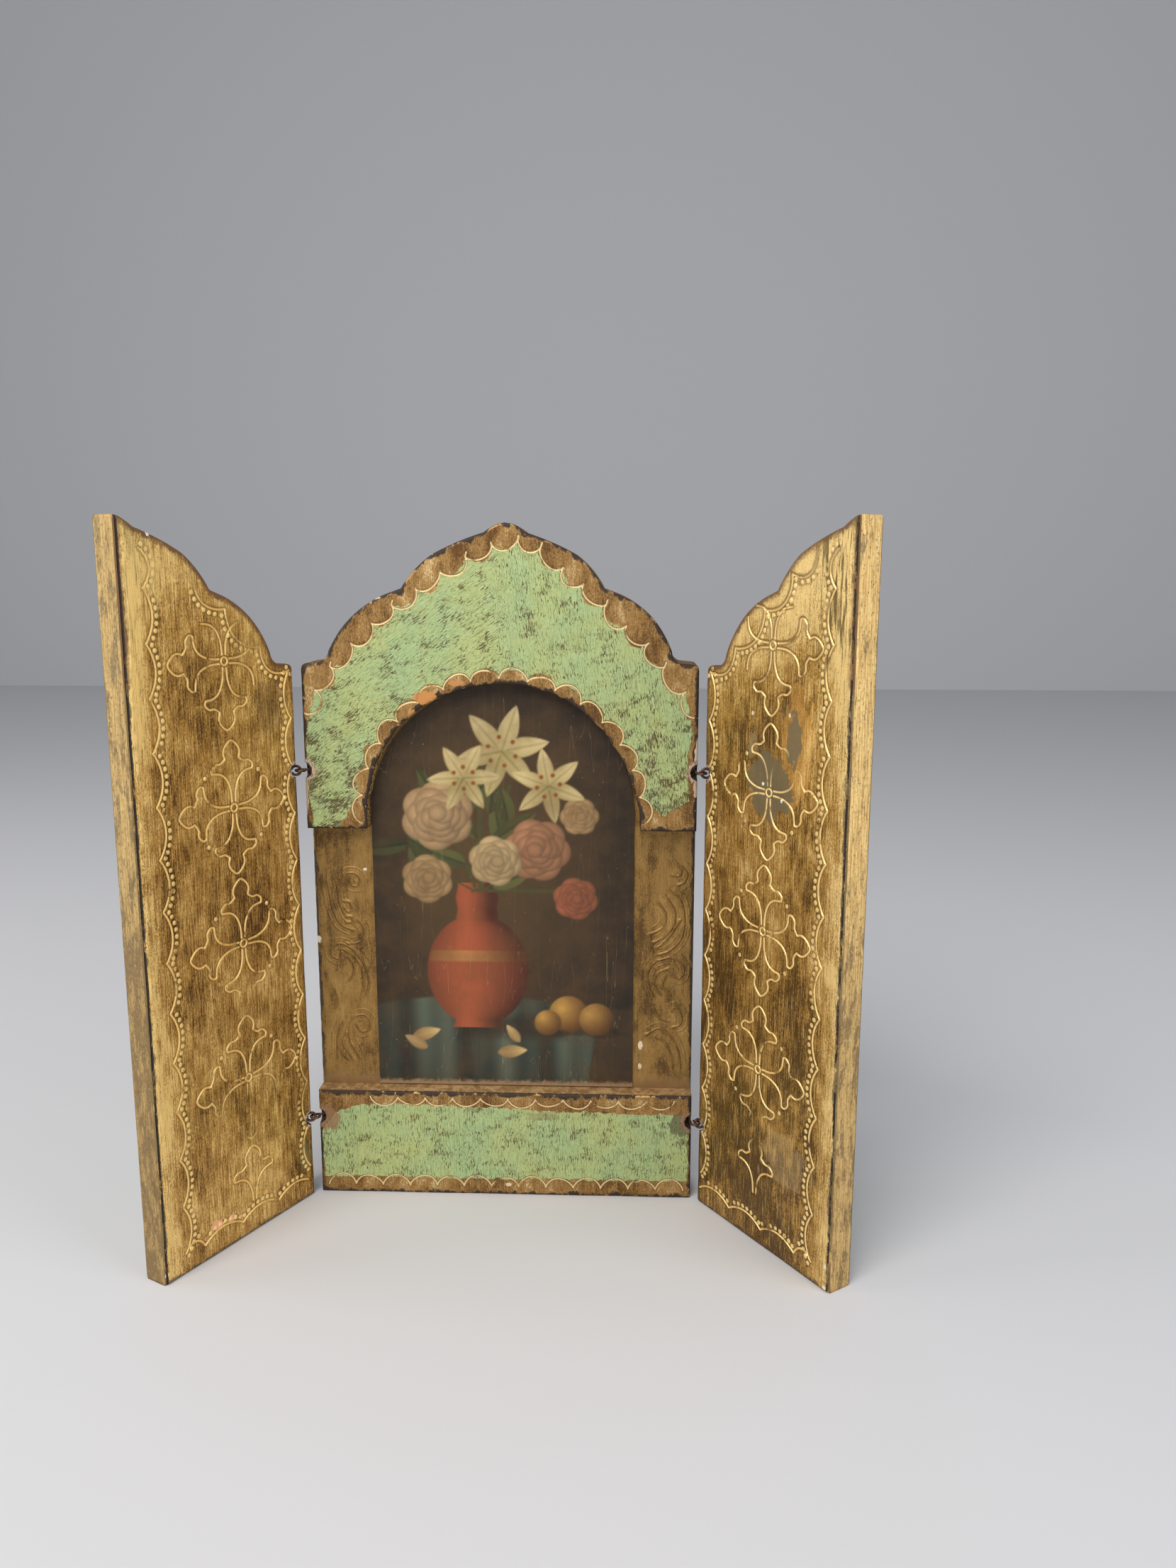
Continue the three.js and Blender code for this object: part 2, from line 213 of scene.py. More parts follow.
def hand_planed(points, seed):
    """The slight unevenness of a planed and gessoed face."""
    x, z = points[:, 0], points[:, 1]
    broad_waves = 0.05 * np.sin(0.21 * x + seed) * np.cos(0.13 * z + 2 * seed)
    return broad_waves + 0.03 * np.sin(0.5 * z + 0.3 * x + seed)


def solid_board(name, front, front_depth, near_y, rear, rear_depth, far_y):
    """A closed board from a front sheet and a rear sheet over the same outline."""
    (spots, triangles, count), (rear_spots, rear_triangles, _) = front, rear
    total = len(spots)
    near = np.column_stack([spots[:, 0], near_y + front_depth, spots[:, 1]])
    far = np.column_stack([rear_spots[:, 0], far_y - rear_depth, rear_spots[:, 1]])
    i = np.arange(count)
    j = (i + 1) % count
    walls = np.column_stack([i, total + i, total + j, j])
    mesh = bpy.data.meshes.new(name)
    faces = [*triangles.tolist(), *(rear_triangles[:, ::-1] + total).tolist(), *walls.tolist()]
    mesh.from_pydata((np.vstack([near, far]) * MM).tolist(), [], faces)
    board = bpy.data.objects.new(name, mesh)
    bpy.context.scene.collection.objects.link(board)
    return board


def only(piece):
    """Makes piece the one selected and active object."""
    bpy.ops.object.select_all(action="DESELECT")
    piece.select_set(True)
    bpy.context.view_layer.objects.active = piece


def dig_out(board, pockets, outwards, radius=2.0, drilled=6.8):
    """A roughly dug pocket and a drilled hole for each wire eye, in millimetres. The holes lean
    away from the middle of the board's own frame where outwards is 1, and towards it where it is -1."""
    for centre in pockets:
        way = Vector((outwards * math.copysign(1, centre[0]), 1, 0)).normalized()
        bpy.ops.mesh.primitive_ico_sphere_add(
            subdivisions=4, radius=radius * MM, location=Vector(centre) * MM)
        pocket = bpy.context.active_object
        for v in pocket.data.vertices:
            d = v.co.normalized()
            v.co *= (1 + (0.08 * math.sin(7 * d.x + 3 * d.z + centre[2])
                          + 0.06 * math.sin(11 * d.z - 5 * d.y + centre[0])))
        bpy.ops.mesh.primitive_cylinder_add(
            vertices=20, radius=MM, depth=drilled * MM, location=(Vector(centre) + drilled / 2 * way) * MM,
            rotation=Vector((0, 0, 1)).rotation_difference(way).to_euler())
        for cutter in (pocket, bpy.context.active_object):
            only(board)
            bpy.ops.object.modifier_add(type="BOOLEAN")
            cut = board.modifiers[-1]
            cut.operation = "DIFFERENCE"
            cut.solver = "MANIFOLD"
            cut.object = cutter
            bpy.ops.object.modifier_apply(modifier=cut.name)
            bpy.data.objects.remove(cutter)


def note(board, name, values):
    """Keeps three numbers for each vertex, for the materials to read."""
    layer = board.data.attributes.new(name, "FLOAT_VECTOR", "POINT")
    layer.data.foreach_set("vector", np.column_stack(values).astype(np.float32).ravel())


def rubbed_at(points, rubs):
    """How far the tooling is rubbed away, 0 to 1. Each rub is across, up, half width and half height."""
    amount = np.zeros(len(points))
    for across, up, half, high in rubs:
        reach = np.hypot((points[:, 0] - across) / half, (points[:, 1] - up) / high)
        amount = np.maximum(amount, np.clip(1.6 - 1.2 * reach, 0, 1))
    return amount


def places(piece):
    """Where each vertex of a piece is."""
    co = np.zeros(len(piece.data.vertices) * 3)
    piece.data.vertices.foreach_get("co", co)
    return co.reshape(-1, 3)


def survey(board, near_y, lines, outline, paint, pockets, beads=(), rubs=(), rear_lines=None):
    """Notes where each vertex lies on the board and how far it is from what marks the surface:
    the lines, the rim, the edge of the paint, the pockets, the beads and the rubbed places."""
    out_of_reach = 9.0
    co = places(board) / MM
    flat = co[:, [0, 2]]
    note(board, "place", (co[:, 0], co[:, 1] - near_y, co[:, 2]))
    painted = np.full(len(co), -out_of_reach)
    if paint is not None:
        painted = distance_to(flat, [closed(paint)])
        painted = np.where(is_inside(flat, paint), painted, -painted)
    from_line = distance_to(flat, lines)
    behind = co[:, 1] - near_y > (co[:, 1].max() - near_y) / 2
    if rear_lines is not None:
        from_line[behind] = distance_to(flat[behind], rear_lines)
    note(board, "tooling", (from_line, distance_to(flat, [closed(outline)]), painted))
    pocket = np.min([np.linalg.norm(co - np.array(p), axis=1) for p in pockets], axis=0)
    bead = np.full(len(co), out_of_reach)
    if len(beads):
        bead = np.where(behind, out_of_reach, nearest(flat, beads))
    note(board, "wear", (pocket, bead, rubbed_at(flat, rubs)))


def finish_piece(piece, cad_node, body, material):
    """Smooth shading, finish, and the body and node that a piece belongs to."""
    only(piece)
    bpy.ops.object.shade_smooth_by_angle(angle=math.radians(62))
    piece.data.materials.clear()
    piece.data.materials.append(material)
    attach(piece, body)
    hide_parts(cad_node)


# The hinge axes stand just in front of the panel's front corners, and the eyes round them.
hinge_gap = 2.0
closed_clearance = 0.5
eye_radius = 1.15
hinge_out = half_width + hinge_gap / 2
hinge_y = front_y - closed_clearance / 2
eye_heights = (22.0, 116.5)
pocket_step = eye_radius / math.sqrt(2)
panel_pockets = [(side * (hinge_out - pocket_step), hinge_y + pocket_step, height)
                 for side in (-1, 1) for height in eye_heights]

scroll_knots = [  # the curls of the left strip, then those of the right one
    [(-42.8, 85.9), (-41.6, 88), (-39.4, 88.2), (-37.9, 86.7), (-38.6, 84.9), (-40.1, 84.9), (-40.4, 86.2)],
    [(-46.6, 86), (-46, 82), (-45.4, 78.4), (-43.6, 74.4), (-40.2, 72.6)],
    [(-43.8, 84.6), (-43.6, 80.6), (-42.4, 77.2)],
    [(-42.4, 80.6), (-40.8, 80.3), (-40.2, 78.6), (-41.4, 77.7), (-42.3, 78.8)],
    [(-41.9, 76.4), (-40.4, 76.3), (-40.4, 74.9), (-41.9, 74.9)],
    [(-38.6, 75.4), (-37.2, 72.8), (-38.2, 69.6), (-41.8, 68.8)],
    [(-43.4, 66.4), (-44.3, 64.6), (-46.2, 65.6), (-45.9, 67.8), (-43.6, 68.9), (-40.2, 67), (-37.3, 63),
     (-36.4, 58.4), (-37.2, 54.6)],
    [(-42.6, 67.2), (-39.8, 65), (-38, 61.4), (-37.8, 57.2)],
    [(-41.7, 65.3), (-40.4, 63.4), (-40.6, 60.2), (-42, 58.6)],
    [(-45.6, 56), (-44.8, 53.2), (-45.9, 50.4)],
    [(-43.6, 47), (-45.3, 43), (-45.6, 37)],
    [(-42.9, 44), (-43.8, 40.4), (-41.6, 36.6)],
    [(-40, 46), (-39, 44.2), (-36.9, 44.9), (-36.5, 47.2), (-38.3, 49), (-41.4, 47.6), (-42.2, 42.4),
     (-39.9, 37.4)],
    [(44.6, 88.6), (46, 88.4), (46.4, 90.4), (45.4, 91.6)],
    [(46.2, 91.2), (48, 89.2), (47.4, 86.8), (45.6, 85.8)],
    [(43.4, 84.4), (46.4, 81.8), (47.5, 76.6), (46.8, 71.6), (44.2, 68.4), (40.6, 66.9), (38.8, 68.6)],
    [(42.4, 82.8), (44.9, 79), (44.6, 75), (42, 71.6), (39.4, 70.2)],
    [(40.6, 81), (42.6, 78), (42, 74.6), (39, 72.6)],
    [(46.4, 76.4), (43.6, 71.8), (40.2, 68.6)],
    [(44.8, 61.2), (46.6, 60.4), (47.6, 62.8), (46, 65.4), (42.4, 65.9), (39, 63.8), (37.9, 59.6),
     (39.4, 55.2)],
    [(43.4, 63), (40.8, 61.8), (39.8, 58.8), (41.6, 55.6)],
    [(42.6, 60.6), (41.9, 58.4), (43.6, 56.2)],
    [(44.4, 51), (45.5, 52.3), (47.1, 50.2), (46.9, 47.6), (44.8, 46.6)],
    [(39.6, 52), (41.2, 49.4), (43.8, 48.4)],
    [(38, 44.6), (41.2, 46.3), (44.4, 44), (46.4, 40), (46.9, 35.6)],
    [(40.4, 43.8), (42.8, 42.4), (44.6, 38.6), (44.9, 35.2)],
]
scrolls = [smooth_line(knots) for knots in scroll_knots]
veins = [sideways(line, apart_by)[4:-4]
         for line in scrolls if len(line) > 22 for apart_by in (-1.5, -0.75, 0.75, 1.5)]
panel_outline = np.vstack([
    walk([(-half_width, 0), (-half_width, shoulder_height - 2)]),
    crest_line(-1, crown_lean),
    crest_line(1, crown_lean)[-2::-1],
    walk([(half_width, shoulder_height - 2), (half_width, 0), (-half_width, 0)])[:-1],
])
panel_face = sheet(panel_outline, scrolls + veins, cell=1.6, seed=2)
panel_rear = sheet(panel_outline, cell=4, seed=3)
spots, rear_spots = panel_face[0], panel_rear[0]
scroll_depth = -1.1 * pressed(spots, scrolls, 0.32, 0.26) - 0.8 * pressed(spots, veins, 0.2, 0.2)
covered_from = 101  # the arch board hides the strips above this height
shown = (spots[:, 1] > ledge_height) & (spots[:, 1] < covered_from)
panel_depth = rounded(spots, panel_outline) + np.where(shown, scroll_depth, 0)
panel_rear_depth = rounded(rear_spots, panel_outline) + 0.6 * hand_planed(rear_spots, 4) + 0.06
panel_rear_depth[:panel_rear[2]] = arris
back_board = solid_board(
    "gilt_back_board", panel_face, panel_depth, glue_y, panel_rear, panel_rear_depth, back_y)
dig_out(back_board, panel_pockets, -1)
survey(back_board, glue_y, scrolls, panel_outline, None, panel_pockets)


class Signal:
    """The output of a shader node. Sums written with it add math nodes to its tree."""

    def __init__(self, socket):
        self.socket, self.tree = socket, socket.id_data

    def __add__(self, other):
        return calc("ADD", self, other)

    def __sub__(self, other):
        return calc("SUBTRACT", self, other)

    def __rsub__(self, other):
        return calc("SUBTRACT", other, self)

    def __mul__(self, other):
        return calc("MULTIPLY", self, other)

    def __abs__(self):
        return calc("ABSOLUTE", self, 0.0)


def put(tree, kind, feeds=None, **settings):
    """Adds a node, with its inputs given as plain values or as signals."""
    made = tree.nodes.new(kind)
    for name, value in settings.items():
        setattr(made, name, value)
    for key, value in (feeds or {}).items():
        if isinstance(value, Signal):
            tree.links.new(value.socket, made.inputs[key])
        else:
            made.inputs[key].default_value = value
    return made


def calc(operation, a, b):
    tree = a.tree if isinstance(a, Signal) else b.tree
    return Signal(put(tree, "ShaderNodeMath", {0: a, 1: b}, operation=operation).outputs[0])


def calc_vector(operation, a, b):
    return Signal(put(a.tree, "ShaderNodeVectorMath", {0: a, 1: b}, operation=operation).outputs[0])


def split(vector):
    """The three numbers of a vector."""
    return [Signal(part) for part in put(vector.tree, "ShaderNodeSeparateXYZ", {0: vector}).outputs]


def tint(red, green, blue):
    """A colour given as 0 to 255 on a display, as the renderer's linear values."""
    return (*(((c / 255 + 0.055) / 1.055) ** 2.4 if c > 10 else c / 3294.6 for c in (red, green, blue)), 1)


def mixed(share, a, b, blend="MIX"):
    """Colour a where share is 0, colour b where it is 1."""
    made = put(share.tree, "ShaderNodeMix", {0: share, 6: a, 7: b}, data_type="RGBA", blend_type=blend)
    return Signal(made.outputs[2])


def fade(value, low, high, top=1.0):
    """Runs smoothly from 0 to top as value runs from low to high."""
    feeds = {"Value": value, "From Min": low, "From Max": high, "To Max": top}
    return Signal(put(value.tree, "ShaderNodeMapRange", feeds, interpolation_type="SMOOTHSTEP").outputs[0])


def mottle(place, stretch, detail=4.0, roughness=0.6, shift=0.0, distortion=0.0):
    """Noise whose lumps are 1/stretch millimetres long each way."""
    moved = {"Vector": place, "Location": (shift, shift, shift), "Scale": stretch}
    scaled = Signal(put(place.tree, "ShaderNodeMapping", moved).outputs[0])
    feeds = {"Vector": scaled, "Scale": 1.0, "Detail": detail, "Roughness": roughness,
             "Distortion": distortion}
    return Signal(put(place.tree, "ShaderNodeTexNoise", feeds).outputs["Fac"])


def bump(height, distance):
    """The normals of a surface raised by height, which is worth distance millimetres."""
    feeds = {"Height": height, "Strength": 1.0, "Distance": distance * MM}
    return Signal(put(height.tree, "ShaderNodeBump", feeds).outputs[0])


def feed(inputs, signals):
    """Leads signals into the inputs of a node, by name."""
    for name, signal in signals.items():
        signal.tree.links.new(signal.socket, inputs[name])


def group(name, vectors, colours, numbers, outputs):
    """An empty node group: its tree, the signals it is given, and the inputs of its output node."""
    tree = bpy.data.node_groups.new(name, "ShaderNodeTree")
    wanted = [(label, "Vector", None) for label in vectors]
    wanted += [(label, "Color", value) for label, value in colours.items()]
    wanted += [(label, "Float", value) for label, value in numbers.items()]
    for label, kind, value in wanted:
        socket = tree.interface.new_socket(label, in_out="INPUT", socket_type=f"NodeSocket{kind}")
        if value is not None:
            socket.default_value = value
    for label in outputs:
        kind = "Color" if label == "Color" else "Float"
        tree.interface.new_socket(label, in_out="OUTPUT", socket_type=f"NodeSocket{kind}")
    sockets = tree.nodes.new("NodeGroupInput").outputs
    given = {socket.name: Signal(socket) for socket in sockets if socket.name}
    return tree, given, tree.nodes.new("NodeGroupOutput").inputs


def placed(group_tree, feeds):
    """A node group set in the tree of the Place it is fed, as its outputs by name."""
    made = put(feeds["Place"].tree, "ShaderNodeGroup", feeds, node_tree=group_tree)
    return {socket.name: Signal(socket) for socket in made.outputs}


def new_material(name, *notes):
    """A material, the inputs of its shader, and the notes kept on the surface."""
    material = bpy.data.materials.new(name)
    material.use_nodes = True
    tree = material.node_tree
    read = [put(tree, "ShaderNodeAttribute", attribute_name=note).outputs["Vector"] for note in notes]
    return material, tree.nodes["Principled BSDF"].inputs, *map(Signal, read)


board_notes = ("place", "tooling", "wear")

# Gold leaf over red ground, toned brown: brushed along the grain, dark with patina beside the tooled lines,
# worn at the arrises.
# The tooled lines and the pearl tops are lighter, partly as unworn leaf and partly as painted highlight;
# the punched rings round the pearls are darkened as painted shade, and one input shifts the tone up and
# down for painted light and shade.
gilding, given, result = group(
    "toned_gilding", ("Place", "Tooling", "Wear"),
    {"Light": tint(228, 196, 120), "Middle": tint(158, 118, 56), "Dark": tint(84, 56, 24)},
    {"Brushing": 1.0, "Line Shine": 1.0, "Line Reach": 0.25, "Grain": 0.3, "Hairs": 1.0, "Lift": 0.0,
     "Dirt": 1.0},
    ("Color", "Roughness", "Metallic", "Height", "Line Gold And Highlight"))
place, light, dark = given["Place"], given["Light"], given["Dark"]
from_line, from_rim, _ = split(given["Tooling"])
_, from_bead, rubbed = split(given["Wear"])
broad = mottle(place, (0.05, 0.05, 0.028), detail=3, shift=3)
patchy = mottle(place, (0.35, 0.35, 0.16), detail=6, roughness=0.65, shift=11)
brushed = mottle(place, (3.2, 3.2, 0.09), detail=5, roughness=0.7)
fine = mottle(place, (2.6, 2.6, 1.5), detail=4, roughness=0.75, shift=5)
tone = broad * 1.25 + patchy * 1.05 - 0.325
tone = tone + (brushed - 0.5) * given["Brushing"] + (fine - 0.5) * given["Grain"] + given["Lift"]
leaf = mixed(fade(tone, 0.58, 0.88), dark, given["Middle"])
leaf = mixed(fade(tone, 0.86, 1.22, 0.85), leaf, light)
hairs = mottle(place, (5.5, 5.5, 0.13), detail=3, roughness=0.6, shift=41)
leaf = mixed(fade(hairs, 0.56, 0.68, 0.75) * given["Hairs"], leaf, dark)
leaf = mixed(fade(hairs, 0.43, 0.33, 0.6) * given["Hairs"], leaf, light)
flecks = mottle(place, (3.2, 3.2, 2.2), detail=3, roughness=0.7, shift=51)
fleck_share = fade(flecks, 0.56, 0.66) * fade(broad, 0.62, 0.42)
leaf = mixed(fleck_share * given["Grain"], leaf, tint(58, 38, 20))
kept = fade(mottle(place, (0.3, 0.3, 0.2), detail=4, shift=21), 0.34, 0.48) * (1.0 - rubbed)
beside = from_line - given["Line Reach"]
near_line = fade(beside, 0.55, 0.05) * fade(patchy, 0.3, 0.55)
leaf = mixed(near_line * (kept * 0.5), leaf, dark)
# Painted highlight along the tooled lines, over gold that is also less worn there.
line_gold_and_highlight = fade(beside, 0.07, -0.05) * kept * given["Line Shine"]
leaf = mixed(line_gold_and_highlight * 0.9, leaf, light)
# Painted shade in the punched ring round each pearl.
pearl_ring_shade = fade(abs(from_bead - 0.72), 0.16, 0.04)
leaf = mixed(pearl_ring_shade * (kept * 0.45), leaf, dark)
# Painted highlight on the top of each pearl.
pearl_top_highlight = fade(from_bead, 0.64, 0.5) * kept
leaf = mixed(pearl_top_highlight, leaf, light)
pits = fade(mottle(place, (1.6, 1.6, 0.9), detail=2, shift=31), 0.66, 0.74)
leaf = mixed(pits * 0.7, leaf, tint(52, 34, 18))
worn_arris = fade(from_rim, 0.6, 0.15) * fade(patchy, 0.5, 0.42, 0.5)
leaf = mixed(worn_arris, leaf, tint(214, 176, 116))
edge_dirt = fade(from_rim + (0.46 - patchy) * 6.0, 0.8, 0.2) * given["Dirt"]
leaf = mixed(edge_dirt, leaf, tint(52, 36, 22))
feed(result, {
    "Color": leaf, "Line Gold And Highlight": calc("MAXIMUM", line_gold_and_highlight, pearl_top_highlight),
    "Roughness": patchy * 0.25 + 0.34 + edge_dirt * 0.2,
    "Metallic": 0.62 - edge_dirt * 0.5 - pits * 0.4,
    "Height": brushed * 0.5 + patchy * 0.6 - pits * 0.5})

# Wood laid bare round the eyes, pinkish and torn, with painted shade in the pocket.
bare_wood, given, result = group(
    "torn_wood", ("Place", "Wear"), {"Pale": tint(208, 180, 150)}, {"Reach": 3.2}, ("Color", "Cover"))
from_pocket, _, _ = split(given["Wear"])
torn = mottle(given["Place"], (0.8, 0.8, 0.45), detail=5, roughness=0.7, shift=7)
fibres = mottle(given["Place"], (4, 4, 0.7), detail=4, shift=17)
away = from_pocket + (torn - 0.5) * 5.0
wood = mixed(fade(fibres, 0.35, 0.65), tint(120, 88, 62), given["Pale"])
# Painted shade: the wood goes near black inside the dug pocket.
wood = mixed(fade(from_pocket, 2.35, 2.0), wood, tint(30, 19, 13))
feed(result, {"Color": wood, "Cover": fade(away, given["Reach"], given["Reach"] - 0.5)})

# A chip, stain or bare spot with a ragged outline, and a share of it that hides what is below.
ragged_patch, given, result = group(
    "ragged_patch", ("Place", "Centre", "Stretch"), {"Base": None, "Spot": None},
    {"Cover": 0.0, "Strength": 1.0}, ("Color", "Cover"))
offset = calc_vector("SUBTRACT", given["Place"], given["Centre"])
scaled = calc_vector("MULTIPLY", offset, given["Stretch"])
length = put(ragged_patch, "ShaderNodeVectorMath", {0: scaled}, operation="LENGTH").outputs["Value"]
torn = mottle(calc_vector("ADD", scaled, given["Centre"]), (1.7, 1.7, 1.7), detail=6, shift=4)
share = fade(Signal(length) + (torn - 0.5) * 1.9, 1.06, 0.94) * given["Strength"]
grit = mottle(given["Place"], (2.6, 2.6, 2.6), detail=4, roughness=0.7, shift=14)
spot_colour = mixed(fade(grit, 0.5, 0.7, 0.35), given["Spot"], tint(90, 66, 40))
feed(result, {
    "Color": mixed(share, given["Base"], spot_colour), "Cover": calc("MAXIMUM", given["Cover"], share)})


def patched(place, base, cover, patches):
    """Lays patches on a colour. Each is across, up, half width, half height, strength and colour."""
    fading = 0.3  # how fast a patch gives out with depth, for each millimetre
    for across, up, half, high, strength, colour in patches:
        made = placed(ragged_patch, {
            "Place": place, "Centre": (across, 0, up), "Stretch": (1 / half, fading, 1 / high),
            "Base": base, "Cover": cover, "Spot": tint(*colour), "Strength": strength})
        base, cover = made["Color"], made["Cover"]
    return base, cover


pilaster_gilding, shader, place, tooling, wear = new_material("pilaster_gilding", *board_notes)
_, depth, up = split(place)
gold = placed(gilding, {
    "Place": place, "Tooling": tooling, "Wear": wear, "Light": tint(196, 158, 92),
    "Middle": tint(158, 122, 66), "Dark": tint(98, 72, 36), "Brushing": 0.35, "Line Shine": 0.12,
    "Line Reach": 0.1, "Grain": 0.7, "Hairs": 0.5, "Dirt": 0.9})
torn = placed(bare_wood, {"Place": place, "Wear": wear, "Reach": 3.0})
dust_height = up + mottle(place, (0.25, 0.25, 0.25), detail=5, shift=2) * -5
base = mixed(fade(dust_height, 31.5, 27.5, 0.7), gold["Color"], tint(166, 134, 94))
base, chipped = patched(place, base, 0.0, [
    (-36.5, 89.3, 0.5, 0.4, 1, (226, 214, 190)), (-49.6, 70, 0.7, 0.9, 1, (222, 208, 182)),
    (36.3, 41.4, 0.6, 1.2, 1, (228, 206, 178)), (36.2, 35.5, 0.5, 0.8, 1, (224, 200, 170))])
grain = mottle(place, (0.5, 0.5, 0.05), detail=6, shift=9)
plain = mixed(fade(grain, 0.35, 0.7), tint(92, 62, 34), tint(132, 96, 54))
base = mixed(fade(depth, 0.6, 1.4), base, plain)
base = mixed(torn["Cover"], base, torn["Color"])
on_face = calc("MINIMUM", fade(depth, 1.4, 0.6), 1.0 - chipped)
feed(shader, {"Base Color": base, "Roughness": gold["Roughness"],
              "Metallic": gold["Metallic"] * on_face, "Normal": bump(gold["Height"], 0.12)})
finish_piece(back_board, "back_board", "centre", pilaster_gilding)


# ---- The print.
# A small varnished colour print glued to the back board: flowers in a brick-red vase on a draped
# table, gone brown with age. It is paper, flat, and cut to a round-headed shape.
print_low, print_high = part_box("picture")
print_half, _, print_top = (reach / MM for reach in print_high)
print_foot = print_low.z / MM
print_front = print_low.y / MM
print_spring = print_top - print_half
bpy.ops.mesh.primitive_grid_add(x_subdivisions=224, y_subdivisions=350, size=1)
print_sheet = bpy.context.active_object
print_sheet.name = "flower_print"
grid = places(print_sheet)
height = print_foot + (grid[:, 1] + 0.5) * (print_top - 0.02 - print_foot)
above = np.clip(height - print_spring, 0, print_half)
across = 2 * grid[:, 0] * np.sqrt(print_half ** 2 - above ** 2)
flat_place = np.column_stack([across, np.full(len(grid), print_front), height]) * MM
print_sheet.data.vertices.foreach_set("co", flat_place.ravel())
print_sheet.data.update()


def soft(value, edge=0.35):
    """1 where value is above 0, 0 below, with an edge that many millimetres wide."""
    return np.clip(value / edge + 0.5, 0, 1)


def lay(canvas, mask, shade):
    """Puts one colour, or one colour for each point, over the canvas."""
    return canvas * (1 - mask[:, None]) + np.asarray(shade, float) * mask[:, None]


def shaded(dark, light, amount):
    """Colours between dark and light, in display values."""
    amount = np.clip(amount, 0, 1)[:, None]
    return np.array(dark) * (1 - amount) + np.array(light) * amount


def petal_shape(x, z, base, angle, length, width, edge=0.35):
    """A pointed leaf or petal from its base: its mask, and the way along and across it."""
    u = (x - base[0]) * math.cos(angle) + (z - base[1]) * math.sin(angle)
    v = -(x - base[0]) * math.sin(angle) + (z - base[1]) * math.cos(angle)
    t = np.clip(u / length, 0, 1)
    half = width / 2 * np.sin(math.pi * t ** 0.8) ** 0.8
    return soft(np.minimum(half - np.abs(v), np.minimum(u, length - u)), edge), t, v / (width / 2)


def paint_table(x, z):
    """The dark room, the table and the cloth on it, as display colours from 0 to 255."""
    grain = np.sin(x * 1.7 + 2 * np.sin(z * 0.9)) * np.sin(z * 1.3 + x * 0.4)
    glow = np.exp(-(((x + 6) / 30) ** 2 + ((z - 92) / 42) ** 2))
    canvas = shaded((48, 37, 27), (84, 66, 42), glow + 0.05 * grain)
    table = soft(52 - z + 0.6 * np.sin(0.12 * x), 1.2)
    canvas = lay(canvas, table, shaded((38, 33, 26), (74, 58, 38), 0.4 + 0.02 * x + 0.1 * grain))
    sway = 0.34 * x + 0.05 * (z - 30) + 1.2 * np.sin(0.05 * z)
    fold = 0.5 + 0.3 * np.sin(sway) + 0.2 * np.sin(0.83 * x + 1.4) + 0.012 * (z - 45)
    cloth = soft(np.minimum(55 - 0.004 * (x + 8) ** 2 - z, 22 + 0.16 * (z - 30) - x), 0.8)
    return lay(canvas, cloth, shaded((34, 42, 40), (96, 112, 104), fold))


def paint_vase(canvas, x, z):
    body = 13.5 * np.sqrt(np.clip(1 - ((z - 62) / 15.5) ** 2, 0, 1))
    neck = 5 + 2.6 * np.cos((z - 79) * 0.24) ** 2 - 2.4 * np.exp(-((z - 79) / 3) ** 2)
    neck = np.where((z > 72) & (z < 86), neck, 0)
    foot = np.where((z > 46) & (z < 49.5), 7 - 0.35 * (z - 46), 0)
    half = np.maximum(np.maximum(body, neck), foot)
    x = x + 7
    roundness = 1 - np.clip(np.abs(x + 3) / (half + 1e-6), 0, 1.6) ** 1.5
    shadow = 0.6 * soft(np.minimum(14 - np.abs(x - 9), 3 - np.abs(z - 46.5)), 3)
    canvas = lay(canvas, shadow, (24, 22, 18))
    brick = shaded((74, 34, 24), (176, 92, 62), 0.25 + 0.75 * roundness)
    canvas = lay(canvas, soft(half - np.abs(x), 0.4), brick)
    band = soft(1.5 - np.abs(z - 66), 0.4) * soft(half - np.abs(x) - 0.3, 0.4)
    return lay(canvas, 0.6 * band, shaded((92, 60, 34), (200, 160, 96), roundness))


def paint_leaves(canvas, x, z):
    for (x0, z0), (x1, z1) in stalks:
        t = np.clip((z - z0) / (z1 - z0) if abs(z1 - z0) > 1 else (x - x0) / (x1 - x0), 0, 1)
        off = np.hypot(x - (x0 + (x1 - x0) * t), z - (z0 + (z1 - z0) * t))
        canvas = lay(canvas, soft(0.45 - off, 0.4), (70, 78, 44))
    for number in range(26):
        angle = 0.35 + 2.45 * ((number * 7) % 26) / 25
        start = 3 + 19 * ((number * 11) % 26) / 25
        base = (-6 + start * math.cos(angle), 84 + 1.1 * start * math.sin(angle))
        tilt = angle + 0.8 * math.sin(number * 2.1)
        mask, t, v = petal_shape(x, z, base, tilt, 11 + 4 * math.sin(number), 4.6)
        light = 0.45 + 0.3 * np.sign(v) * (number % 2 - 0.5) + 0.2 * t - 0.35 * np.exp(-(v / 0.12) ** 2)
        light = light + 0.012 * (20 - start)
        canvas = lay(canvas, 0.92 * mask, shaded((34, 42, 26), (104, 112, 64), light))
    return canvas


def paint_rose(canvas, x, z, rose_x, rose_z, size, shade):
    dark = tuple(0.42 * c for c in shade)
    for ring, petals in ((1.0, 6), (0.78, 6), (0.55, 5), (0.34, 4), (0.16, 1)):
        for petal in range(petals):
            turn = 2 * math.pi * petal / petals + 2.4 * ring + 0.3 * rose_x
            out = 0.5 * ring * size
            right, above = x - (rose_x + out * math.cos(turn)), z - (rose_z + out * math.sin(turn))
            r = np.hypot(right, above * 1.08)
            reach = size * (0.22 + 0.36 * ring)
            light = 0.95 - 0.5 * (r / reach) ** 3 + 0.03 * above - 0.03 * right
            light = light * (0.66 + 0.34 * ring)
            canvas = lay(canvas, soft(reach - r, 0.5), shaded(dark, shade, light))
    return canvas


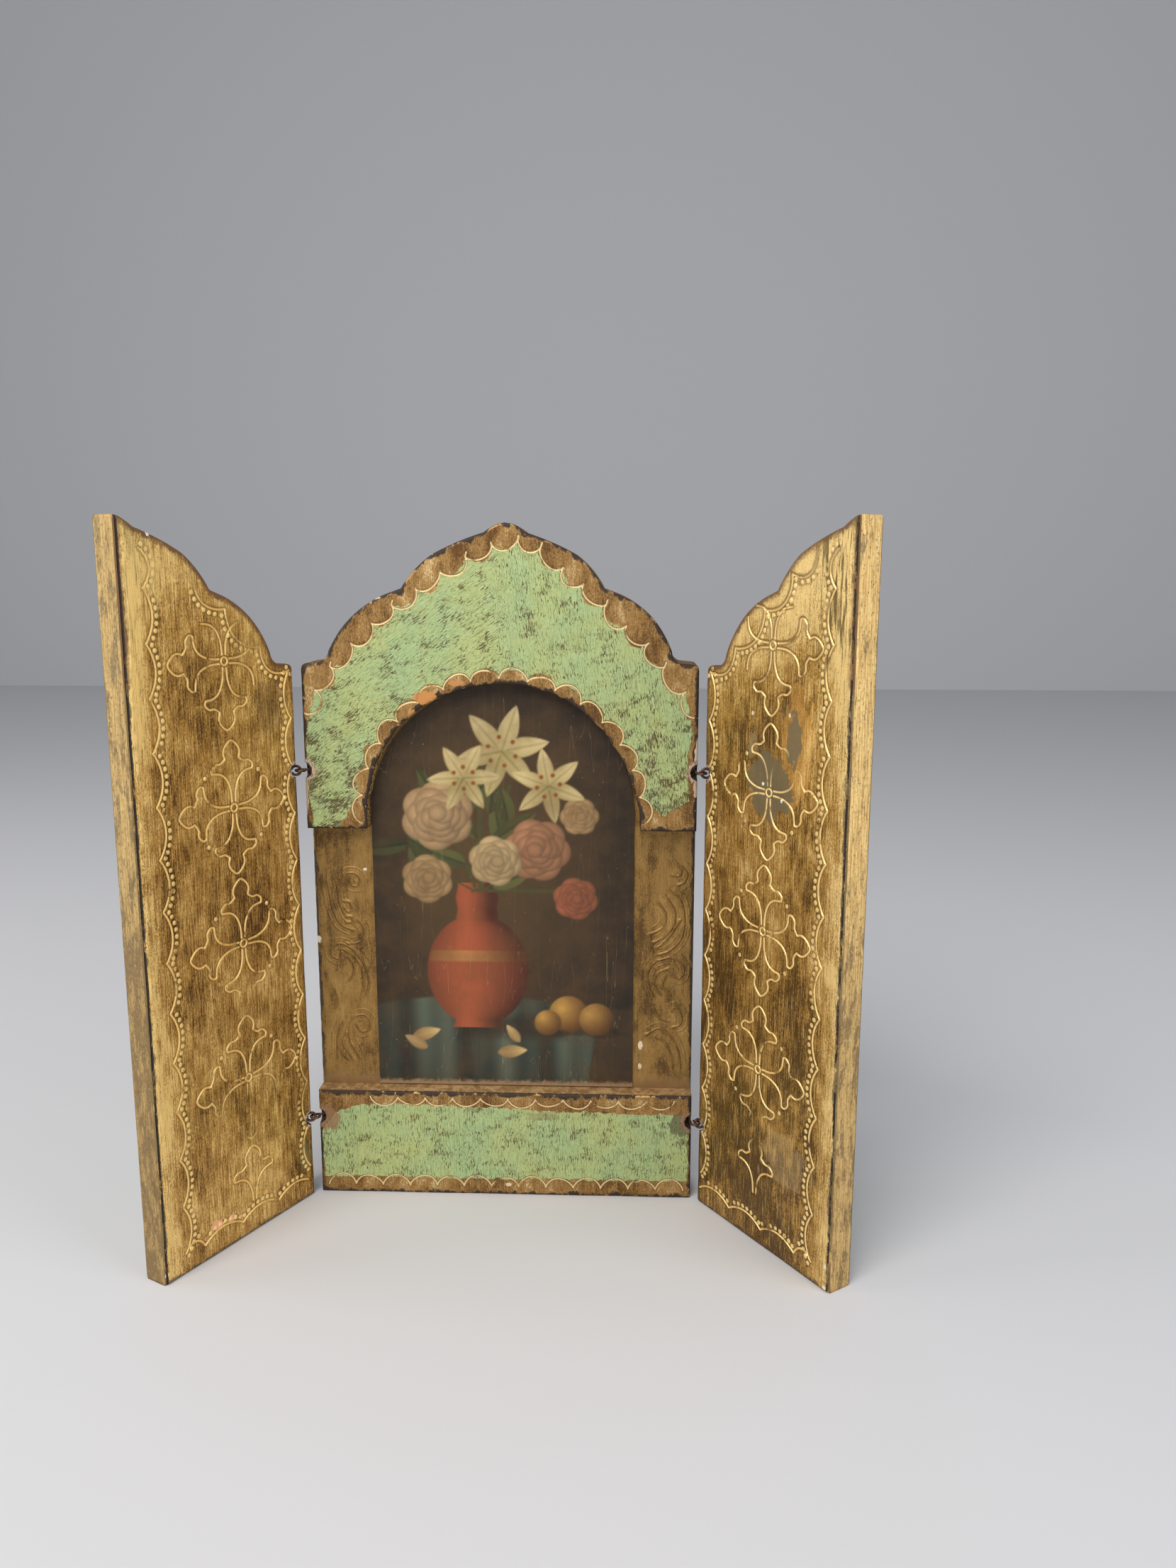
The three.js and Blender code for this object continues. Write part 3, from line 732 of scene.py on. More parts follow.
def paint_lily(canvas, x, z, lily_x, lily_z, size, spin):
    for half_step in (0, 0.5):
        for petal in range(3):
            angle = spin + 2 * math.pi * (petal + half_step) / 3
            mask, t, v = petal_shape(x, z, (lily_x, lily_z), angle, size, 0.42 * size, 0.5)
            light = 0.5 + 0.5 * t - 0.32 * np.exp(-(v / 0.14) ** 2) - 0.2 * np.abs(v)
            light = light + 0.12 * math.sin(angle)
            canvas = lay(canvas, mask, shaded((132, 120, 74), (240, 222, 178), light))
    for stamen in range(6):
        angle = spin + 0.5 + stamen * math.pi / 3
        tip = (lily_x + 0.3 * size * math.cos(angle), lily_z + 0.3 * size * math.sin(angle))
        canvas = lay(canvas, soft(0.55 - np.hypot(x - tip[0], z - tip[1]), 0.3), (150, 84, 34))
    return canvas


def paint_fruit(canvas, x, z, fruit_x, fruit_z, size):
    r = np.hypot(x - fruit_x, z - fruit_z)
    lit = 1 - np.hypot(x - fruit_x + 0.35 * size, z - fruit_z - 0.4 * size) / (1.5 * size)
    shadow = soft(size - np.hypot(x - fruit_x - 2, (z - fruit_z + size * 0.8) * 3), 2)
    canvas = lay(canvas, 0.5 * shadow, (22, 20, 16))
    return lay(canvas, soft(size - r, 0.4), shaded((88, 54, 26), (222, 176, 96), lit))


stalks = [((-7, 84), (-16, 106)), ((-6, 84), (2, 112)), ((-8, 84), (-22, 92)), ((-5, 84), (12, 98)),
          ((-6, 84), (-6, 118)), ((-4, 84), (19, 84))]
roses = [(-17, 104, 9.0, (226, 190, 150)), (9, 95, 8.2, (206, 150, 118)), (-20, 87, 6.4, (214, 178, 132)),
         (19, 82, 5.6, (190, 112, 84)), (-2, 92, 6.6, (232, 204, 160)), (20, 104, 4.8, (214, 176, 130))]
lilies = [(0, 121, 12.5, 0.2), (-10, 114, 9.5, 1.1), (12, 112, 10, 0.7)]
fruits = [(17, 50, 5.2), (24.5, 48.6, 4.6), (11.5, 47.6, 3.6)]
fallen_petals = [((-25, 43), 0.3, 8), ((-21, 40), 2.6, 7), ((-2, 39), 0.1, 8), ((4, 42), 2.2, 6)]
canvas = paint_leaves(paint_vase(paint_table(across, height), across, height), across, height)
for rose in roses:
    canvas = paint_rose(canvas, across, height, *rose)
for lily in lilies:
    canvas = paint_lily(canvas, across, height, *lily)
for fruit in fruits:
    canvas = paint_fruit(canvas, across, height, *fruit)
for base, angle, length in fallen_petals:
    mask, t, v = petal_shape(across, height, base, angle, length, 0.45 * length)
    light = 0.3 + 0.7 * t - 0.3 * np.abs(v)
    canvas = lay(canvas, mask, shaded((140, 110, 72), (226, 198, 148), light))
darkened = 0.35 * (np.abs(across) / 34) ** 3 + 0.3 * np.clip((height - 118) / 20, 0, 1)
canvas = canvas * np.clip(1.06 - darkened, 0, 1)[:, None] * np.array([1.0, 0.97, 0.88])
display = np.clip(canvas, 0, 255) / 255
linear = np.where(display > 0.04045, ((display + 0.055) / 1.055) ** 2.4, display / 12.92)
printed = np.column_stack([linear, np.ones(len(linear))]).astype(np.float32)
paint_layer = print_sheet.data.color_attributes.new("printed", "FLOAT_COLOR", "POINT")
paint_layer.data.foreach_set("color", printed.ravel())
note(print_sheet, "place", (across, np.zeros(len(grid)), height))
only(print_sheet)
bpy.ops.object.mode_set(mode="EDIT")
bpy.ops.mesh.select_all(action="SELECT")
bpy.ops.mesh.normals_make_consistent(inside=False)
bpy.ops.object.mode_set(mode="OBJECT")
if print_sheet.data.polygons[0].normal.y > 0:
    print_sheet.data.flip_normals()
bpy.ops.object.mode_set(mode="EDIT")
bpy.ops.mesh.select_all(action="DESELECT")
bpy.ops.mesh.select_mode(type="EDGE")
bpy.ops.mesh.select_non_manifold()
bpy.ops.mesh.extrude_region_move(TRANSFORM_OT_translate={"value": (0, (glue_y - print_front) * MM, 0)})
bpy.ops.mesh.edge_face_add()
bpy.ops.mesh.quads_convert_to_tris()
bpy.ops.object.mode_set(mode="OBJECT")

varnished_print, shader, place = new_material("varnished_print", "place")
_, _, up = split(place)
ink = Signal(put(place.tree, "ShaderNodeAttribute", attribute_name="printed").outputs["Color"])
foxing = mottle(place, (0.12, 0.12, 0.12), detail=6)
base = mixed(fade(foxing, 0.3, 0.72, 0.42), ink, tint(96, 70, 38))
screen = mottle(place, (7, 7, 7), detail=2, roughness=0.8)
base = mixed(fade(screen, 0.3, 0.7, 0.3), base, tint(40, 30, 22), "MULTIPLY")
specks = mottle(place, (2.4, 2.4, 2.4), detail=1, shift=4)
base = mixed(fade(specks, 0.765, 0.8), base, tint(196, 176, 140))
scratched = mottle(place, (0.22, 0.22, 0.016), detail=3, roughness=0.4, shift=8)
base = mixed(fade(abs(scratched - 0.5), 0.0016, 0.0004, 0.25), base, tint(170, 148, 110))
lifted = up + mottle(place, (0.7, 0.7, 0.7), detail=4, shift=13) * -3
base = mixed(fade(lifted, print_foot + 0.3, print_foot - 1.3), base, tint(150, 122, 92))
crinkles = mottle(place, (0.5, 0.5, 0.5), detail=6, roughness=0.7)
feed(shader, {"Base Color": base, "Roughness": foxing * 0.3 + 0.3, "Normal": bump(crinkles, 0.12)})
shader["Specular IOR Level"].default_value = 0.35
finish_piece(print_sheet, "picture", "centre", varnished_print)

# ---- The foot board.
# A thin board glued across the foot of the back board; its top edge makes the ledge. It is gilded,
# then painted sage green between two rows of scallops scratched with a gouge.
def scallop_row(cusps, depth, uneven=0.0, fullness=0.65):
    """Gouged arcs from cusp to cusp that swell to the right of the way, half round at fullness 1."""
    cusps = np.array(cusps, float)
    rise = np.linspace(0, math.pi, 26)[1:]
    parts = [cusps[:1]]
    for count, (a, b) in enumerate(zip(cusps, cusps[1:])):
        way = b - a
        outward = np.array([way[1], -way[0]]) / np.linalg.norm(way)
        own_depth = depth * (1 + uneven * math.sin(2.7 * count + 1))
        along = (1 - np.cos(rise)) / 2 + 0.6 * uneven * math.sin(1.9 * count) * np.sin(rise) ** 2
        height = own_depth * np.sin(rise) * (fullness + (1 - fullness) * np.sin(rise))
        parts.append(a + along[:, None] * way + height[:, None] * outward)
    return np.vstack(parts)


def row_of(left, right, height, pitch=7.4):
    """Cusps at even steps along a level line, from left to right."""
    count = round((right - left) / pitch)
    return np.column_stack([np.linspace(left, right, count + 1), np.full(count + 1, height)])


def painted_board(name, outline, lines, paint, is_own, seed, waves):
    """A board glued on the back board, scratched along the lines and pocketed for its own eyes."""
    face = sheet(outline, lines, cell=1.0, seed=seed)
    rear = sheet(outline, cell=5, rings=(), seed=seed + 1)
    spots = face[0]
    depth = rounded(spots, outline) + (pressed(spots, lines, 0.2, 0.16) + hand_planed(spots, waves))
    flat = np.zeros(len(rear[0]))
    board = solid_board(name, face, np.maximum(depth, 0), front_y, rear, flat, glue_y)
    dig_out(board, [pocket for pocket in panel_pockets if is_own(pocket[2])], -1)
    survey(board, front_y, lines, outline, paint, panel_pockets)
    return board


foot_outline = walk([(-half_width, 0), (half_width, 0), (half_width, ledge_height),
                     (-half_width, ledge_height), (-half_width, 0)])[:-1]
foot_lines = [
    scallop_row(row_of(-48, 48, 2.2)[::-1], 3.0, uneven=0.1),
    scallop_row(row_of(-36, 45.4, ledge_height - 1.4), 2.4, uneven=0.12),
]
foot_paint = np.array([
    (-49.2, 4.4), (-30, 4.7), (-8, 4.4), (14, 4.8), (36, 4.6), (49, 4.9), (49.4, 12), (49.2, 23.4),
    (44, 23.9), (30, 23.9), (22, 24.4), (10, 24.1), (3, 24.9), (-10, 25.3), (-30, 25.8),
    (-38, 25.6), (-44.6, 23.6), (-47.6, 20.5), (-49.3, 18)])
foot_board = painted_board("painted_foot_board", foot_outline, foot_lines, foot_paint,
                           lambda height: height < ledge_height, 5, 5)

# Sage paint dabbed over the brown: short dark hairs of the ground show through, closest where it is thin.
sage_paint, given, result = group(
    "sage_paint", ("Place", "Tooling", "Strokes"),
    {"Paint": tint(158, 181, 127), "Warm Paint": tint(172, 182, 117), "Ground": tint(78, 62, 28)},
    {"Thinness": 0.5}, ("Color", "Cover", "Height"))
place, course = given["Place"], given["Strokes"]
from_line, _, in_paint = split(given["Tooling"])
clouds = mottle(place, (0.06, 0.06, 0.05), detail=3, shift=6)
dabs = mottle(place, (0.45, 0.45, 0.35), detail=4, shift=16)
clusters = mottle(place, (0.2, 0.2, 0.3), detail=4, shift=56)
hairs = mottle(course, (4.6, 4.6, 0.22), detail=3, roughness=0.6, shift=26)
strokes = mottle(course, (4.2, 4.2, 0.62), detail=2, roughness=0.5, shift=36, distortion=0.45)
fine_strokes = mottle(course, (6.5, 6.5, 1.1), detail=2, roughness=0.5, shift=46, distortion=0.6)
base = mixed(fade(clouds, 0.34, 0.66), given["Paint"], given["Warm Paint"])
base = mixed(fade(hairs, 0.53, 0.66, 0.55), base, tint(188, 205, 154))
base = mixed(fade(hairs, 0.45, 0.34, 0.75), base, tint(112, 118, 62))
base = mixed(fade(fine_strokes, 0.57, 0.62, 0.6), base, tint(108, 108, 56))
thin = (clusters - 0.5) * 0.75 + given["Thinness"] * 0.12
gaps = calc("MAXIMUM", strokes, fine_strokes - 0.015) + thin
base = mixed(fade(gaps, 0.6, 0.645, 0.92), base, given["Ground"])
cover = fade(in_paint + (dabs - 0.5) * 2.6, -0.15, 0.15)
feed(result, {"Color": base, "Cover": cover * fade(from_line, 0.22, 0.32), "Height": hairs * 0.5 - gaps})


def painted_material(name, stroke_angles, low_thinness, pale_wood, patches):
    """Green paint over toned gilding, with bare edges, scratched scallops and torn wood at the eyes.
    stroke_angles are how far, in degrees, the brush leans on the left half and on the right half."""
    material, shader, place, tooling, wear = new_material(name, *board_notes)
    side, depth, up = split(place)
    _, from_rim, _ = split(tooling)
    gold = placed(gilding, {
        "Place": place, "Tooling": tooling, "Wear": wear, "Light": tint(248, 222, 164),
        "Middle": tint(168, 128, 72), "Dark": tint(108, 74, 38), "Brushing": 0.3, "Line Shine": 1.0,
        "Line Reach": 0.17, "Grain": 1.0, "Hairs": 0.4, "Dirt": 1.0})
    leaning = [Signal(put(place.tree, "ShaderNodeMapping", {
        "Vector": place, "Rotation": (0, math.radians(angle), 0)}).outputs[0]) for angle in stroke_angles]
    on_right = calc("GREATER_THAN", side + mottle(place, (0.4, 0.4, 0.4)) * 30, 15.0)
    course = put(place.tree, "ShaderNodeMix", {0: on_right, 4: leaning[0], 5: leaning[1]},
                 data_type="VECTOR").outputs[1]
    green = placed(sage_paint, {
        "Place": place, "Tooling": tooling, "Strokes": Signal(course),
        "Thinness": fade(up, 142.0, 106.0, low_thinness) - 0.1})
    cover = green["Cover"] * fade(depth, 0.55, 0.25)
    base = mixed(cover, gold["Color"], green["Color"])
    base, dull = patched(place, base, cover, patches)
    chips = mottle(place, (0.5, 0.5, 0.5), detail=5, roughness=0.7, shift=40)
    chipped = fade(from_rim, 1.1, 0.5) * fade(chips, 0.61, 0.66)
    base = mixed(chipped, base, tint(206, 170, 124))
    flaking = mottle(place, (1.1, 1.1, 1.1), detail=6, shift=50)
    wall = mixed(fade(flaking, 0.48, 0.6), tint(70, 46, 26), tint(190, 158, 92))
    in_the_arch = fade(abs(side), 39.0, 38.0) * fade(up, 142.0, 141.0)
    grain = mottle(place, (0.5, 0.5, 0.12), detail=6, shift=9)
    wood = mixed(fade(grain, 0.35, 0.7), tint(86, 58, 32), tint(126, 92, 52))
    wood = mixed(fade(chips, 0.54, 0.62, 0.6), wood, tint(166, 130, 74))
    base = mixed(fade(depth, 0.4, 0.9), base, mixed(in_the_arch, wood, wall))
    on_ledge = fade(up, ledge_height - 0.25, ledge_height - 0.1)
    on_ledge = on_ledge * fade(up, ledge_height + 1, ledge_height + 0.5)
    dust = mixed(fade(chips, 0.4, 0.62), tint(130, 98, 58), tint(174, 142, 98))
    base = mixed(on_ledge * fade(depth, 0.4, 1.2, 0.9), base, dust)
    torn = placed(bare_wood, {"Place": place, "Wear": wear, "Reach": 3.3, "Pale": pale_wood})
    base = mixed(torn["Cover"], base, torn["Color"])
    dull = calc("MAXIMUM", dull, torn["Cover"])
    relief = gold["Height"] * 0.6 + (green["Height"] + 1.5) * cover
    feed(shader, {
        "Base Color": base, "Roughness": calc("MAXIMUM", gold["Roughness"], dull * 0.62),
        "Metallic": gold["Metallic"] * (1.0 - dull) * fade(depth, 1.0, 0.6), "Normal": bump(relief, 0.1)})
    return material


foot_patches = [  # brown stain, reddish wood by the left eye, dark worn corner on the right, pale chip
    (10, 22.8, 4.4, 1.2, 0.35, (112, 92, 50)), (-47.3, 21.4, 2.8, 3.6, 0.8, (146, 106, 74)),
    (46.8, 21, 2.6, 3.6, 0.7, (80, 64, 38)), (1, 3, 0.8, 0.5, 1, (220, 196, 156)),
]
finish_piece(foot_board, "base_front", "centre",
             painted_material("painted_foot", (0, 0), 0.0, tint(156, 118, 88), foot_patches))

# ---- The arch board.
# A thin board with a round-headed opening, glued over the upper part of the back board. It is gilded
# and painted like the foot board, inside scallops that follow the crest and the opening.
arch_low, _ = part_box("arch_front")
arch_foot = arch_low.z / MM
arch_radius = 34.6
arch_spring = 104.15
arch_turn = np.linspace(0, math.pi, 150)
hand_cut = arch_radius + 0.13 * np.sin(5 * arch_turn + 2) + 0.07 * np.sin(19 * arch_turn)
hand_cut += 0.8 * np.exp(-(arch_turn / 0.18) ** 2)
opening = np.column_stack([hand_cut * np.cos(arch_turn), arch_spring + hand_cut * np.sin(arch_turn)])
right_jamb, left_jamb = opening[0, 0], opening[-1, 0]
arch_outline = np.vstack([
    walk([(half_width, arch_foot), (half_width, shoulder_height - 2)]),
    crest_line(1, crown_lean),
    crest_line(-1, crown_lean)[-2::-1],
    walk([(-half_width, shoulder_height - 2), (-half_width, arch_foot), (left_jamb, arch_foot)]),
    walk([(left_jamb, arch_foot + 0.7), (left_jamb, arch_spring - 0.5)]),
    opening[::-1],
    walk([(right_jamb, arch_spring - 0.5), (right_jamb + 0.2, arch_foot), (half_width, arch_foot)])[:-1],
])
outer_cusps = np.array([
    (-49.4, 131.1), (-46.7, 137.1), (-42.6, 143), (-37.1, 148.8), (-31.8, 153.9), (-26.6, 158.3),
    (-20.6, 162.5), (-14.4, 166.6), (-8, 170.1), (-1.6, 173.5), (5.3, 175.4), (10.7, 172.4), (16.3, 167.5),
    (21.3, 163.6), (26.8, 158.5), (31.9, 153.4), (37.4, 149.1), (41.4, 143.2), (46.7, 137), (49.4, 130.6)])
rim_turn = np.linspace(math.radians(-2), math.radians(182), 17)
inner_cusps = np.column_stack([35.8 * np.cos(rim_turn), arch_spring + 35.8 * np.sin(rim_turn)])
arch_lines = [
    scallop_row(outer_cusps, 2.7, uneven=0.15, fullness=0.8),
    scallop_row(inner_cusps, 2.8, uneven=0.15, fullness=0.8),
    *[np.array([cusp, cusp + [0.35, 1.1]]) for cusp in outer_cusps[2:-2:3]],
]
arch_paint = np.vstack([
    [(-48.4, arch_foot + 0.5), (-49.2, 112), (-49.5, 124)],
    scallop_row(outer_cusps[1:-1], 2.9, uneven=0.15, fullness=0.5),
    [(48.6, 127), (47.4, 118), (48.2, 109), (45, 107.4), (41.5, 105)],
    scallop_row(inner_cusps[1:-1], 2.3, uneven=0.1) * [1.01, 1] + [0, 0.5],
    [(-38.4, 107), (-41.6, arch_foot + 0.6)],
])
arch_board = painted_board("painted_arch_board", arch_outline, arch_lines, arch_paint,
                           lambda height: height > ledge_height, 7, 9)
arch_patches = [  # an orange ground along the opening, chips, and pale gesso by the right eye
    (-18.6, 135.1, 3, 1.7, 1, (196, 134, 70)), (-10.6, 138.9, 2.2, 0.8, 0.9, (190, 132, 76)),
    (-22.2, 130.4, 1.1, 2.2, 0.9, (190, 138, 80)), (-24.4, 127.6, 0.7, 1.2, 0.9, (190, 140, 88)),
    (-30.4, 160.3, 1.1, 0.6, 1, (214, 192, 156)), (49.9, 121.5, 0.7, 3.4, 1, (212, 190, 162)),
    (49.8, 112.5, 0.8, 2.2, 0.9, (202, 176, 144)), (-49.9, 110, 0.7, 5, 0.8, (196, 172, 132)),
]
finish_piece(arch_board, "arch_front", "centre",
             painted_material("painted_arch", (-52, 6), 0.7, tint(212, 188, 160), arch_patches))

# ---- The wings.
# Each is one thin board under half of the crest. Its inner face is gilded, toned and tooled with a
# waved line, rows of pearl punches and a column of flowers; its outside is painted like the panel.
wing_width = 49.7
wing_thickness = 7.25
wing_near = hinge_gap / 2
wing_free = wing_near + wing_width
crack_inset = 0.45
wave_pitch = 12.15


def apart(points, room):
    """Drops each point that lies within room of one kept before it."""
    kept = []
    for point in points:
        if all(np.hypot(*(point - other)) > room for other in kept):
            kept.append(point)
    return np.array(kept)


def mirrored(lines):
    return [line * [-1, 1] for line in lines]


def turned(line, quarter, centre):
    """A line of the flower turned by quarter turns and set at its centre."""
    c, s = ((1, 0), (0, 1), (-1, 0), (0, -1))[quarter]
    return np.column_stack([c * line[:, 0] - s * line[:, 1], s * line[:, 0] + c * line[:, 1]]) + centre


stem = smooth_line([(0.55, 1.6), (0.8, 4.5), (1.9, 7.1), (3.7, 8.5), (6.2, 8.9)], 0.25)
side_lobe = smooth_line([(6.2, 8.9), (6.4, 9.9), (5.2, 11), (3.6, 11), (2.1, 12)], 0.25)
top_lobe = smooth_line(
    [(-2.1, 12), (-2.5, 13.4), (-1.9, 14.9), (0, 16.3), (1.9, 14.9), (2.5, 13.4), (2.1, 12)], 0.25)
flower_arm = [stem, side_lobe, *mirrored([stem, side_lobe]), top_lobe]
short_arm = [stem, *mirrored([stem])]
ring_turn = np.linspace(0, 2 * math.pi, 25)
flower_ring = 0.95 * np.column_stack([np.cos(ring_turn), np.sin(ring_turn)])


def flower(centre, arms=(0, 1, 2, 3), stubs=(), ring=True):
    """A four-armed flower: 0 is the arm that points up, 1 left, 2 down and 3 right."""
    lines = [turned(line, arm, centre) for arm in arms for line in flower_arm]
    lines += [turned(line, arm, centre) for arm in stubs for line in short_arm]
    return lines + ([flower_ring + centre] if ring else [])


def bead_row(wave, way):
    """Pearl punches in a row beside a waved line."""
    return sideways(evenly(wave, 1.5), 1.15 * way)


def pearl_depth(points, beads):
    """How deep a ring punch goes round each pearl, and how far the pearl stands up inside it."""
    from_bead = nearest(points, beads)
    pearl = np.sqrt(np.clip(1 - (from_bead / 0.6) ** 2, 0, 1))
    return 0.16 * np.exp(-((from_bead - 0.7) / 0.15) ** 2) - 0.16 * pearl


def wing_board(side, side_name, opening, flower_centres, rubs):
    """One wing, tooled flat beside the panel, then turned about its hinge axis."""
    crest_here = crest_line(1, 0.0, half_width - wing_width)
    crest_here[:, 0] = wing_near + half_width - crest_here[:, 0]
    outline = np.vstack([
        walk([(wing_near, 0), (wing_near, shoulder_height - 2)]), crest_here,
        walk([(wing_free, peak_height - 0.7), (wing_free, 0), (wing_near, 0)])[:-1]])
    free_cusps = [(wing_free - 6.1, 5.0 + wave_pitch * k) for k in range(14)] + [(wing_free - 5.7, 171.4)]
    foot_cusps = [*[(wing_near + 1 + 12.2 * k, 4.2) for k in range(4)], free_cusps[0]]
    hinge_cusps = [(wing_near + 1.2, 8.6 + wave_pitch * k) for k in range(12)]
    crest_cusps = [hinge_cusps[-1], (11.6, 148.6), (21.8, 157.9), (30.7, 166.1), (38.5, 171.6)]
    waves = [scallop_row(cusps, swell, fullness=0.2) for cusps, swell in (
        (free_cusps, -2.2), (foot_cusps, -2.2), (hinge_cusps, 2.2), (crest_cusps, 3.4))]
    free_wave, foot_wave, hinge_wave, crest_wave = waves
    centres = np.array(flower_centres) + [wing_near, 0]
    flowers = [line for centre in centres[:-1] for line in flower(centre)]
    flowers += flower(centres[-1], arms=(2, 3), stubs=(0, 1))
    flowers += flower(centres[0] - [0, 34.67], arms=(0,), ring=False)
    corners = 8.2 * np.array([[1, 1], [1, -1], [-1, 1], [-1, -1]])
    beads = apart(np.vstack([
        *[centre + corners for centre in centres[:-1]], bead_row(free_wave, -1), bead_row(hinge_wave, 1),
        bead_row(foot_wave, -1)[3:-3], bead_row(crest_wave, 1)]), 1.3)
    pockets = [(pocket_step, pocket_step, height) for height in eye_heights]
    clear = nearest(beads, [(x, z) for x, _, z in pockets]) > 3.2
    beads = beads[clear & is_inside(beads, outline)]
    lines = waves + flowers
    if side < 0:
        outline, beads = (outline * [-1, 1])[::-1], beads * [-1, 1]
        lines, waves = mirrored(lines), mirrored(waves)
        pockets = [(-x, y, z) for x, y, z in pockets]
        rubs = [(-x, *rest) for x, *rest in rubs]
    outer_lines = waves[:3]
    face = sheet(outline, lines, beads, cell=1.15, seed=11)
    rear = sheet(outline, outer_lines, cell=1.6, seed=13)
    spots, rear_spots = face[0], rear[0]
    tooled = pressed(spots, lines, 0.25, 0.34) + pearl_depth(spots, beads)
    depth = rounded(spots, outline) + tooled * (1 - rubbed_at(spots, rubs)) + hand_planed(spots, 3 + side)
    from_free = wing_free - side * spots[:, 0]
    depth = np.maximum(depth + 0.42 * np.exp(-((from_free - crack_inset) / 0.14) ** 2), 0)
    depth[:face[2]] = arris
    rear_depth = rounded(rear_spots, outline) + pressed(rear_spots, outer_lines, 0.2, 0.16)
    rear_depth[:rear[2]] = arris
    inner_face = closed_clearance / 2
    board = solid_board(f"tooled_wing_{side_name}", face, depth, inner_face, rear, rear_depth,
                        inner_face + wing_thickness)
    dig_out(board, pockets, 1)
    field = np.vstack([waves[0][4:-8], waves[3][::-1], waves[2][::-1][2:-2], waves[1][2:]])
    survey(board, inner_face, lines, outline, field, pockets, beads, rubs, outer_lines)
    board.data.transform(Matrix.Translation(Vector((side * hinge_out, hinge_y, 0)) * MM)
                         @ Matrix.Rotation(math.radians(-side * opening), 4, "Z"))
    return board


def wing_material(name, tones, end_tones_as_lit, top_highlight_and_wear, low_shade, end_wear, broken, patches):
    """Toned gilding on the inner face, with painted highlight along the free edge and at the top and
    painted shade low down, a pale gilt end in tones painted as it is lit, and worn green paint outside.
    """
    material, shader, place, tooling, wear = new_material(name, *board_notes)
    side, depth, up = split(place)
    from_line, from_rim, _ = split(tooling)
    out = abs(side)
    crumbs = mottle(place, (0.8, 0.8, 0.16), detail=6, roughness=0.7, shift=90)
    grit = mottle(place, (1.4, 1.4, 1.1), detail=6, roughness=0.75, shift=70)
    # Painted light: the tone is raised along the free edge and towards the top as painted highlight, and
    # lowered towards the foot by low_shade as painted shade.
    painted_light_shift = fade(out, 42.5, 49.0, 0.34) + fade(up, 132.0, 168.0, top_highlight_and_wear) - fade(up, 90.0, 40.0, low_shade)
    gold = placed(gilding, {
        "Place": place, "Tooling": tooling, "Wear": wear, "Light": tones[0], "Middle": tones[1],
        "Dark": tones[2], "Brushing": 1.4, "Line Shine": 1.0, "Line Reach": 0.24, "Grain": 1.1,
        "Hairs": 1.0, "Lift": painted_light_shift, "Dirt": 0.75})
    crest_side = fade(from_rim - grit * 3.4, 0.4, -1.0, 0.75) * fade(up, 140.0, 143.0)
    base = mixed(crest_side, gold["Color"], tint(112, 72, 40))
    weathered = mottle(place, (0.9, 0.9, 0.06), detail=4, roughness=0.65, shift=110)
    weathered = fade(weathered, 0.5, 0.57) * fade(out, 37.0, 42.0, top_highlight_and_wear) * fade(up, 142.0, 152.0, 1.8)
    base = mixed(weathered, base, tint(104, 84, 46))
    # Dirt and painted shade darken the tooled lines and their sides towards the top.
    line_dirt_and_shade = fade(from_line - grit * 1.4, 0.3, -0.3) * fade(up, 124.0, 146.0, top_highlight_and_wear)
    base = mixed(line_dirt_and_shade, base, tint(112, 80, 42))
    base, dull = patched(place, base, 0.0, patches)
    # The tooled lines and pearl tops in the light tone again: unworn leaf with painted highlight.
    base = mixed(gold["Line Gold And Highlight"] * 0.8, base, tones[0])
    crack_at = abs(out - (wing_free - crack_inset - 0.1) + (grit - 0.5) * 0.7)
    crack = fade(crack_at, 0.28, 0.12) * fade(crumbs, 0.39 + broken, 0.44 + broken)
    base = mixed(crack, base, tint(38, 26, 16))
    worn_patch = mottle(place, (0.3, 0.42, 0.13), detail=8, roughness=0.74, shift=100)
    brushed = mottle(place, (2.8, 2.8, 0.09), detail=5, roughness=0.7, shift=60)
    # The end face, in tones painted as it is lit.
    end = mixed(fade(brushed, 0.36, 0.62), end_tones_as_lit[0], end_tones_as_lit[1])
    wear_here = worn_patch + (fade(up, 110.0, 70.0, 0.05) + end_wear)
    end = mixed(fade(wear_here, 0.5, 0.6, 0.8), end, tint(122, 100, 66))
    end = mixed(fade(grit, 0.54, 0.64, 0.8), end, tint(92, 70, 44))
    end = mixed(fade(grit, 0.43, 0.34, 0.7), end, end_tones_as_lit[2])
    end = mixed(fade(up, 112.0, 62.0, 0.34), end, tint(124, 94, 48))
    wood = mixed(fade(crumbs, 0.4, 0.6), tint(64, 42, 24), tint(120, 86, 46))
    at_end = fade(out, wing_free - 0.4, wing_free - 0.1)
    base = mixed(fade(depth, 0.45, 0.75), base, mixed(at_end, wood, end))
    outside = fade(depth, wing_thickness - 0.7, wing_thickness - 0.45)
    green = placed(sage_paint, {"Place": place, "Tooling": tooling, "Strokes": place, "Thinness": 0.1})
    base = mixed(outside, base, mixed(green["Cover"], gold["Color"], green["Color"]))
    torn = placed(bare_wood, {"Place": place, "Wear": wear, "Reach": 2.9})
    base = mixed(torn["Cover"], base, torn["Color"])
    dull = calc("MAXIMUM", dull, green["Cover"] * outside)
    dull = calc("MAXIMUM", calc("MAXIMUM", dull, torn["Cover"]), crack)
    relief = gold["Height"] + brushed * 0.5 - crack * 1.5
    feed(shader, {
        "Base Color": base, "Roughness": calc("MAXIMUM", gold["Roughness"], dull * 0.62),
        "Metallic": gold["Metallic"] * (1.0 - dull), "Normal": bump(relief, 0.13)})
    return material


